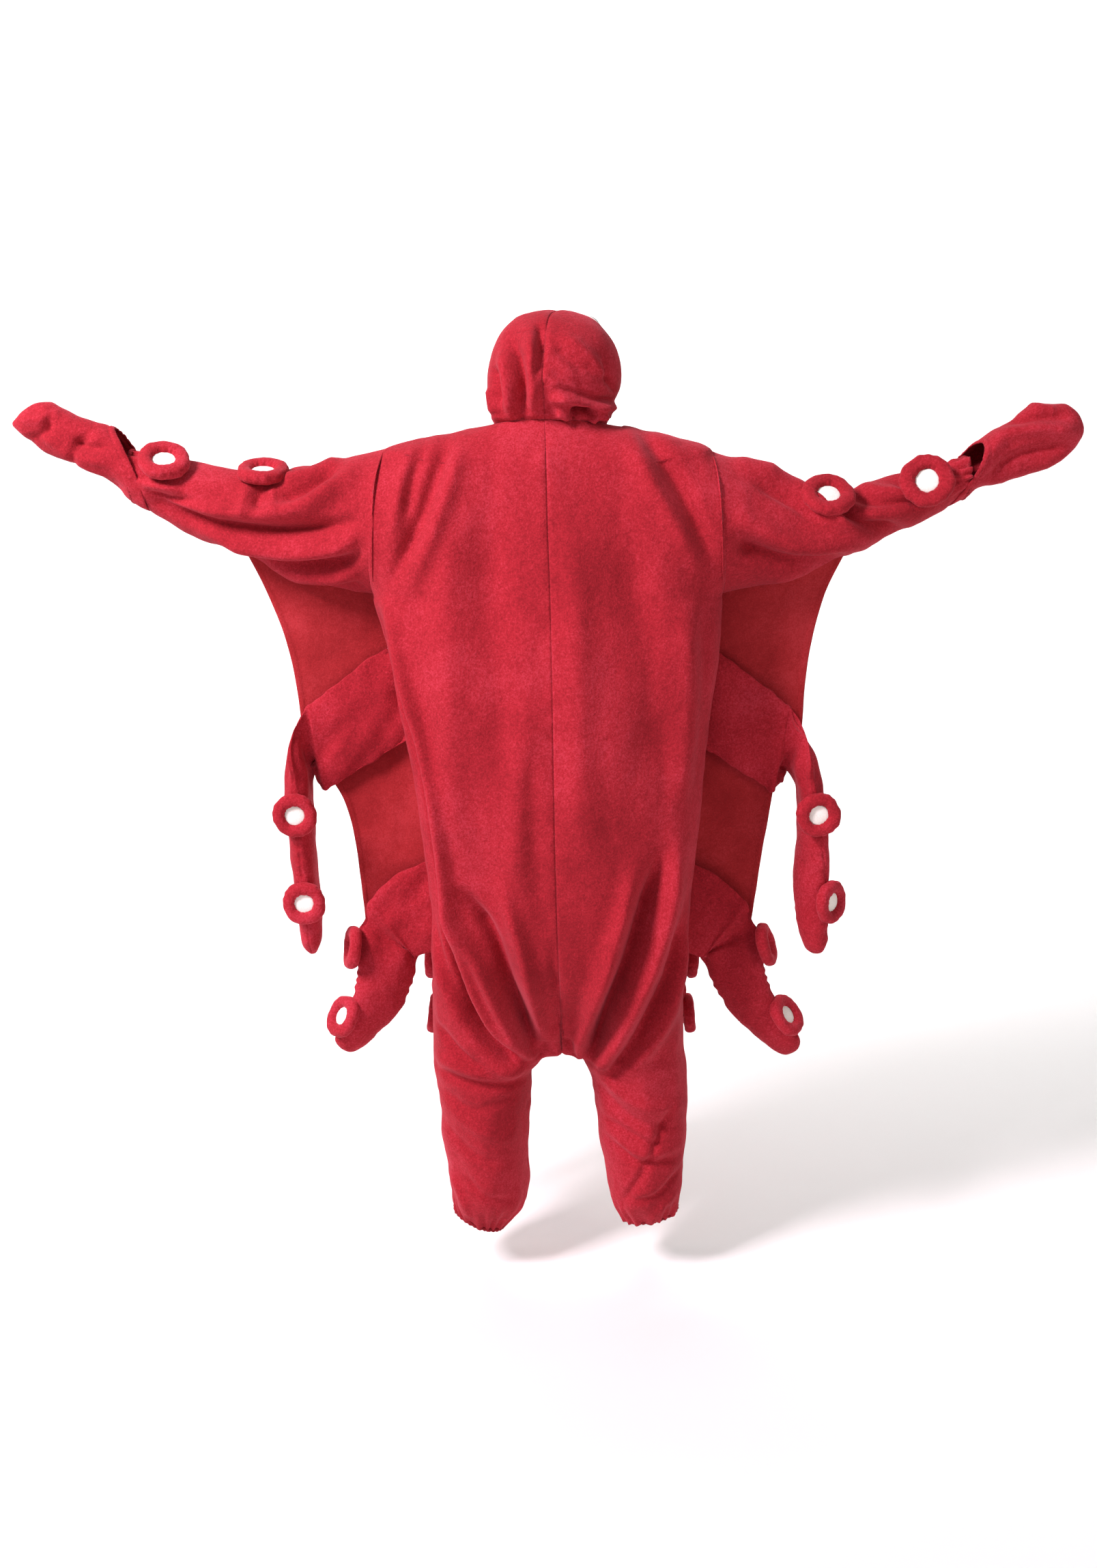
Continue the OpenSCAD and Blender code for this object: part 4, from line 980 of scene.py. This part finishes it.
tentacle = {
    "cols": 72, "rows": 190,
    # share of the length: distance out, depth, height, half width, half thickness, lean of the width,
    # and its turn towards the back
    "upperLeft": [
        (0, 246, 10, -438, 85, 5, 9, 0), (0.08, 286, 10, -464, 83, 8, 9, 0),
        (0.2, 356, 10, -512, 79, 9, 9, 0), (0.28, 397, 10, -540, 74, 9, 9, 0),
        (0.32, 411, 10, -547, 66, 13, 9, 30), (0.37, 424, 10, -568, 54, 20, 8, 66),
        (0.43, 430, 8, -605, 48, 22, 4, 84), (0.56, 427, 8, -687, 45, 22, 0, 90),
        (0.76, 421, 8, -786, 38, 21, 0, 90), (0.92, 417, 8, -870, 28, 18, 0, 90),
        (1, 415, 8, -908, 20, 14, 0, 90)],
    "upperRight": [
        (0, 258, 10, -444, 85, 5, 9, 0), (0.08, 294, 10, -468, 83, 8, 9, 0),
        (0.2, 360, 10, -514, 79, 9, 9, 0), (0.28, 397, 10, -540, 74, 9, 9, 0),
        (0.32, 413, 10, -547, 66, 13, 9, 30), (0.37, 432, 10, -568, 54, 20, 8, 66),
        (0.43, 447, 8, -605, 48, 22, 4, 86), (0.56, 457, 8, -687, 44, 22, 60, 78),
        (0.72, 458, 8, -770, 36, 22, 84, 54), (0.88, 464, 8, -852, 27, 19, 90, 34),
        (1, 474, 8, -908, 20, 14, 84, 30)],
    "lowerLeft": [
        (0, 184, 10, -808, 80, 5, 9, 0), (0.1, 220, 10, -826, 78, 8, 12, 0),
        (0.22, 262, 10, -850, 70, 9, 26, 0), (0.29, 278, 10, -870, 62, 11, 44, 4),
        (0.36, 283, 9, -898, 55, 17, 66, 14), (0.48, 288, 8, -940, 51, 21, 78, 18),
        (0.65, 303, 8, -994, 46, 22, 68, 24), (0.82, 334, 8, -1044, 38, 21, 58, 34),
        (0.94, 360, 8, -1075, 28, 17, 52, 36), (1, 370, 8, -1085, 22, 14, 50, 36)],
    "lowerRight": [
        (0, 212, 10, -808, 80, 5, 9, 0), (0.1, 250, 10, -826, 78, 8, 12, 0),
        (0.22, 296, 10, -852, 70, 9, 24, 0), (0.29, 313, 10, -872, 62, 11, 42, 4),
        (0.36, 322, 9, -900, 55, 17, 64, 14), (0.48, 333, 8, -940, 51, 21, 74, 20),
        (0.65, 356, 8, -994, 44, 22, 62, 24), (0.82, 396, 8, -1046, 36, 21, 54, 30),
        (0.94, 430, 8, -1077, 27, 17, 50, 32), (1, 444, 8, -1088, 22, 14, 48, 32)],
    "front": [
        (0, 96, 152, -834, 66, 6, 6, 0), (0.15, 150, 154, -860, 58, 11, 16, 0),
        (0.3, 192, 158, -896, 52, 15, 42, 0), (0.42, 208, 164, -938, 49, 20, 74, 0),
        (0.6, 208, 166, -1010, 45, 22, 88, 0), (0.8, 214, 168, -1085, 38, 20, 86, 0),
        (0.95, 224, 170, -1140, 27, 17, 82, 0), (1, 228, 170, -1156, 20, 13, 80, 0)],
    "bend": {"upper": 0.29, "lower": 0.28, "front": 0.34},
    "length": {"upper": 620, "lower": 430, "front": 440},
    "suckers": {"upper": (0.49, 0.79), "lower": (0.37, 0.80), "front": (0.5, 0.8)},   # shares of the length
    "hangs": {"upper": (0.8, -0.6), "lower": (0.6, -0.8), "front": (0.4, -0.9)},   # way on at the bend
}
for name, shift in (("Left", -44), ("Right", 5)):
    tentacle["front" + name] = [(t, x + shift, *rest) for t, x, *rest in tentacle["front"]]


def tentaclePoint(key, side, u, v):   # u round the section, v from the suit to the tip
    rows = through(tentacle[key], v)
    ahead = through(tentacle[key], np.clip(v + 0.004, 0, 1))[:, :3]
    behind = through(tentacle[key], np.clip(v - 0.004, 0, 1))[:, :3]
    x, y, z, wide, thin, lean, turn = rows.T
    run = (ahead - behind) * np.array([side, 1, 1])
    run /= np.linalg.norm(run, axis=1)[:, None]
    lean, turn = np.radians(lean), np.radians(turn)
    across = np.column_stack([
        side * np.sin(lean) * np.cos(turn), -np.sin(turn), np.cos(lean) * np.cos(turn)])
    # the band is cut slanting, the hanging part square
    hanging = smooth(0.28, 0.4, v)[:, None]
    across -= hanging * (across * run).sum(1)[:, None] * run
    across /= np.linalg.norm(across, axis=1)[:, None]
    facing = np.cross(run, across)   # the way the flat of the band looks
    facing /= np.linalg.norm(facing, axis=1)[:, None]
    a = 2 * np.pi * u
    tip = np.sqrt(np.clip(1 - np.clip((v - 0.93) / 0.07, 0, 1) ** 2.2, 0, 1))
    w = signedPower(np.cos(a), 0.92) * wide * tip
    h = signedPower(np.sin(a), 0.95) * thin * tip
    centre = np.column_stack([side * x, y, z])
    return (centre + across * w[:, None] + facing * h[:, None]) * mm


def tentacleMiddle(key, side, v):
    return (tentaclePoint(key, side, 0 * v + 0.25, v) + tentaclePoint(key, side, 0 * v + 0.75, v)) / 2


def tentacleRelief(co, level, side, u, v):   # how far the cover stands off its plain form
    a = 2 * np.pi * u
    edge = np.exp(-(np.abs(np.sin(a)) / 0.34) ** 2)   # near the two edge seams
    crease = tentacle["bend"][level]
    band = 1 - smooth(crease - 0.06, crease + 0.06, v)
    puckers = np.sin(v * tentacle["length"][level] / 4.6 + 2 * np.sin(v * 23) + a)
    height = 1.5 * edge * puckers * (0.5 + 0.5 * (1 - band)) - 1.8 * np.exp(-(np.sin(a) / 0.07) ** 2)
    # a sharp fold where the band ends, and gathers just below it
    height += (2.5 * np.exp(-((v - crease + 0.012) / 0.012) ** 2)
               - 7 * np.exp(-((v - crease - 0.03) / 0.02) ** 2))
    height += 3 * np.exp(-((v - crease - 0.08) / 0.06) ** 2) * np.sin(a * 6 + 3 * v)
    height -= 3 * band * np.exp(-(v / 0.03) ** 2)
    height = height * mm + ripple(co, (0.05, 0.05, 0.06), 20 + side) * 2.4 * mm
    x, y, z = co.T
    slant = np.column_stack([x * 0.8 + side * z * 0.6, y, z * 0.8 - side * x * 0.6])
    height += ripple(slant, (0.028, 0.06, 0.1), 26 + side) * 4 * mm * band
    height += ripple(co, (0.02, 0.02, 0.025), 22 + side) * 0.9 * mm
    return height * (1 - smooth(0.97, 1, v))


def makeTentacle(level, name):
    side = sides[name]
    key = level + name.title()
    bm = clothGrid(tentacle["cols"], tentacle["rows"], lambda u, v: tentaclePoint(key, side, u, v))
    grid = clothGrid(tentacle["cols"], tentacle["rows"], lambda u, v: np.column_stack([u, v, 0 * u]))
    u, v = meshPoints(grid)[:, :2].T
    grid.free()
    co = meshPoints(bm)
    # the normals come from the formula, so that both sides of an open seam move alike
    step = 1e-3
    du = tentaclePoint(key, side, u + step, v) - tentaclePoint(key, side, u - step, v)
    dv = (tentaclePoint(key, side, u, np.clip(v + step, 0, 1))
          - tentaclePoint(key, side, u, np.clip(v - step, 0, 1)))
    normal = np.cross(du, dv)
    size = np.linalg.norm(normal, axis=1)[:, None]
    normal = np.where(size > 1e-12, normal / np.maximum(size, 1e-12), 0)
    normal *= np.sign(((co - tentacleMiddle(key, side, v)) * normal).sum(1))[:, None]
    setPoints(bm, co + normal * tentacleRelief(co, level, side, u, v)[:, None])
    closeSeams(bm)
    bmesh.ops.holes_fill(bm, edges=[e for e in bm.edges if e.is_boundary])
    turnOutwards(bm)
    piece = finished(bm, f"tentacle{level.title()}{name.title()}", fleece)
    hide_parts(f"tentacle_{level}_{name}", f"fill_{level}_{name}", f"bands_{level}")
    x, z = through(tentacle[key], [tentacle["bend"][level]])[0][[0, 2]]
    out, down = tentacle["hangs"][level]
    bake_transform(piece)
    # suckers sit on the edge that turns to the back
    for number, share in enumerate(tentacle["suckers"][level]):
        here = np.array([share])
        spot = tentaclePoint(key, side, 0 * here, here)[0]
        out = spot - tentacleMiddle(key, side, here)[0]
        out /= np.linalg.norm(out)
        makeSucker(f"{level}Sucker{name.title()}{number + 1}", f"tentacle_{level}_{name}", sucker["radius"],
                   spot - out * 0.002, out, (f"rings_{level}_{name}", f"discs_{level}_{name}"),
                   number + 3 * side)


for level in ("upper", "lower", "front"):
    for name in sides:
        makeTentacle(level, name)
print("tentacles made")


# Webs: single sheets between the suit, the sleeves and the bands

web = {"cols": 60, "rows": 80, "thick": 2.0, "hem": 10}


def patchBetween(top, bottom, left, right):   # a sheet with four given edges
    def place(u, v):
        a, b = through(top, u), through(bottom, u)
        c, d = through(left, v), through(right, v)
        u1, v1 = u[:, None], v[:, None]
        corners = ((1 - u1) * (1 - v1) * np.array(top[0][1:]) + u1 * (1 - v1) * np.array(top[-1][1:])
                   + (1 - u1) * v1 * np.array(bottom[0][1:]) + u1 * v1 * np.array(bottom[-1][1:]))
        return ((1 - v1) * a + v1 * b + (1 - u1) * c + u1 * d - corners) * mm
    return place


def evenKnots(points):   # puts each point's share of the way in front of it
    return [(t, *p) for t, p in zip(np.linspace(0, 1, len(points)), points)]


def makeWeb(label, name, top, bottom, sewn, free, seed, sag):   # the free edge is hemmed
    place = patchBetween(*(evenKnots(line) for line in (top, bottom, sewn, free)))

    def shaped(u, v):
        spots = place(u, v)
        edge = place(np.ones_like(u), v)
        gap = np.linalg.norm(spots - edge, axis=1) / mm
        out = ripple(spots, (0.09, 0.09, 0.12), seed) * 3.5
        out += ripple(spots, (0.035, 0.035, 0.05), seed + 1) * 1.2
        middle = np.sin(np.pi * u) * np.sin(np.pi * v)
        out = out * smooth(0, 0.25, np.minimum(u, 1.2 - u)) - sag * middle
        out -= 1.5 * smooth(web["hem"] + 2, web["hem"] - 2, gap)
        out += 0.8 * np.sin(np.linalg.norm(edge, axis=1) / mm / 7) * np.exp(-(gap / 14) ** 2)
        spots[:, 1] += out * mm
        return spots

    bm = clothGrid(web["cols"], web["rows"], shaped)
    closeSeams(bm)
    turnTowards(bm, (0, -1, 0))
    area = sum(f.calc_area() for f in bm.faces)
    piece = finished(bm, f"web{label}{name.title()}", webCloth, thick=web["thick"] * mm)
    return piece, round(area, 4)


webs = {
    "left": {
        "under": [(-280, 4, -250), (-340, 4, -246), (-400, 2, -230), (-455, 0, -212), (-508, 0, -192)],
        "free": [(-508, 0, -192), (-476, 10, -262), (-445, 18, -350), (-430, 22, -430), (-422, 22, -506)],
        "bandTop": [(-256, 24, -400), (-326, 24, -436), (-380, 24, -470), (-422, 22, -506)],
        "seam": [(-280, 4, -250), (-272, 12, -300), (-262, 20, -340), (-256, 24, -400)],
        "lowerTop": [(-236, 24, -500), (-290, 24, -530), (-340, 24, -560), (-378, 24, -590)],
        "lowerFree": [(-378, 24, -590), (-352, 24, -640), (-335, 24, -720), (-328, 24, -790),
                      (-322, 24, -860)],
        "lowerBottom": [(-200, 24, -770), (-250, 24, -800), (-292, 24, -830), (-322, 24, -860)],
        "lowerSeam": [(-236, 24, -500), (-216, 24, -589), (-206, 24, -670), (-200, 24, -770)]},
    "right": {
        "under": [(280, 4, -250), (340, 4, -246), (400, 2, -232), (455, 0, -214), (498, 0, -194)],
        "free": [(498, 0, -194), (462, 10, -280), (446, 18, -350), (438, 22, -420), (434, 22, -506)],
        "bandTop": [(262, 24, -400), (336, 24, -436), (392, 24, -470), (434, 22, -506)],
        "seam": [(280, 4, -250), (272, 12, -300), (266, 20, -340), (262, 24, -400)],
        "lowerTop": [(250, 24, -500), (302, 24, -530), (352, 24, -560), (392, 24, -590)],
        "lowerFree": [(392, 24, -590), (384, 24, -650), (374, 24, -720), (366, 24, -790), (356, 24, -866)],
        "lowerBottom": [(226, 24, -770), (272, 24, -800), (318, 24, -832), (356, 24, -866)],
        "lowerSeam": [(250, 24, -500), (234, 24, -589), (230, 24, -670), (226, 24, -770)]},
}
# distance out, shift to the right, depth and height
frontWeb = {
    "top": [(225, 16, 26, -830), (262, 16, 66, -826), (262, 16, 120, -828), (208, 16, 152, -838)],
    "bottom": [(268, 18, 26, -886), (288, 18, 70, -884), (280, 18, 122, -896), (226, 18, 156, -930)],
    "sewn": [(225, 16, 26, -830), (246, 17, 26, -858), (268, 18, 26, -886)],
    "free": [(208, 16, 152, -838), (217, 17, 154, -884), (226, 18, 156, -930)],
}
for name, side in sides.items():
    shape, end = webs[name], name.title()
    upper, area = makeWeb("Upper", name, shape["under"], shape["bandTop"], shape["seam"], shape["free"],
                          30 + side, 5)
    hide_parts("web_upper_" + name)
    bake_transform(upper)
    lower, area = makeWeb("Lower", name, shape["lowerTop"], shape["lowerBottom"], shape["lowerSeam"],
                          shape["lowerFree"], 34 + side, -4)
    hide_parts("web_lower")
    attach(lower, "suit")
    # the front web bridges from the side seam round to the front tentacle
    top, bottom, inner, outer = ([(side * out + shift, deep, high) for out, shift, deep, high in line]
                                 for line in frontWeb.values())
    front, area = makeWeb("Front", name, top, bottom, inner, outer, 38 + side, 0)
    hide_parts("web_front")
    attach(front, "suit")
print("webs made")


# Front closure

def makeStrip(name, node, body):   # a stitched strip with rounded edges, as large as its node
    low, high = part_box(node)
    middle, half = (low + high) / 2, (high - low) / 2

    def place(u, v):
        a = 2 * np.pi * u
        x = signedPower(np.cos(a), 0.3) * half.x
        y = signedPower(np.sin(a), 0.5) * half.y
        end = np.sqrt(np.clip(1 - (np.abs(v - 0.5) * 2) ** 60, 0, 1))
        stitch = 0.0005 * np.exp(-((np.abs(x) - half.x + 0.005) / 0.0012) ** 2)
        return np.column_stack([middle.x + x * end, middle.y + (y - np.sign(y) * stitch) * end,
                                low.z + (high.z - low.z) * v])

    bm = clothGrid(64, 260, place)
    closeSeams(bm)
    turnOutwards(bm)
    strip = finished(bm, name, binding)
    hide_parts(node)
    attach(strip, body)


makeStrip("placketBase", "placket_base", "suit")
makeStrip("placketFlap", "placket_flap", "placket_flap")
for node in ("snap_studs", "snap_caps"):
    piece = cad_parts[node]
    piece.data.materials.clear()
    piece.data.materials.append(nickel)
print("placket made")


# Floor, light and camera

# metres and degrees; the wall stands back from the part, and the floor bends up into it
studio = {
    "floor": -1.5, "half": 7, "long": 16, "front": 6, "back": 4.2, "bend": 1.6,
    "camera": (0, -2.5, -0.05), "down": 12.4, "angle": 55.4}


def makeSweep():   # a floor that curves up into a wall
    def place(u, v):
        back, bend = studio["back"], studio["bend"]
        x = (u - 0.5) * 2 * studio["half"]
        run = v * studio["long"] - studio["front"]
        over = np.clip(run - back + bend, 0, None)
        turn = np.clip(over / bend, 0, np.pi / 2)
        y = np.minimum(run, back - bend) + bend * np.sin(turn)
        z = studio["floor"] + bend * (1 - np.cos(turn)) + np.clip(over - bend * np.pi / 2, 0, None)
        return np.column_stack([x, y, z])

    bm = clothGrid(4, 160, place)
    bmesh.ops.recalc_face_normals(bm, faces=bm.faces)
    turnTowards(bm, (0, 0, 1))
    material, tree, shader, spot = newMaterial("matteBackdrop")   # painted board
    tone = addNode(tree, "ShaderNodeTexNoise", inputs={"Vector": spot, "Scale": 0.8, "Detail": 2})
    tree.links.new(twoTone(tree, tone.outputs["Fac"], "f3f3f2", "f7f7f6"), shader.inputs["Base Color"])
    shader.inputs["Roughness"].default_value = 0.95
    finished(bm, "sweep", material)


makeSweep()


def addLight(name, at, target, size, power, colour):
    data = bpy.data.lights.new(name, "AREA")
    data.shape = "RECTANGLE"
    data.size, data.size_y = size
    data.energy = power
    data.color = linear(colour)[:3]
    lamp = bpy.data.objects.new(name, data)
    bpy.context.scene.collection.objects.link(lamp)
    lamp.location = at
    lamp.rotation_euler = (Vector(target) - Vector(at)).to_track_quat("-Z", "Y").to_euler()


addLight("windowLeft", (-2.5, -1.9, 2.0), (0, 0, -0.5), (0.9, 1.2), 235, "fdeef6")
addLight("fillRight", (2.6, -2.4, 0.4), (0, 0, -0.6), (1.6, 1.8), 20, "ffe6d6")
addLight("backdropWash", (0, 1.6, 2.4), (0, 4.2, 0.2), (4.0, 1.2), 150, "ffffff")

world = bpy.data.worlds.new("softRoom")
bpy.context.scene.world = world
world.use_nodes = True
world.node_tree.nodes["Background"].inputs["Color"].default_value = linear("fbfbfd")
world.node_tree.nodes["Background"].inputs["Strength"].default_value = 0.32

lens = bpy.data.cameras.new("camera")
lens.sensor_fit = "VERTICAL"
lens.angle = math.radians(studio["angle"])
camera = bpy.data.objects.new("camera", lens)
bpy.context.scene.collection.objects.link(camera)
camera.location = studio["camera"]
camera.rotation_euler = (math.radians(90 - studio["down"]), 0, 0)
bpy.context.scene.camera = camera
bpy.context.scene.view_settings.view_transform = "Standard"   # keeps the reds saturated
print("scene lit")
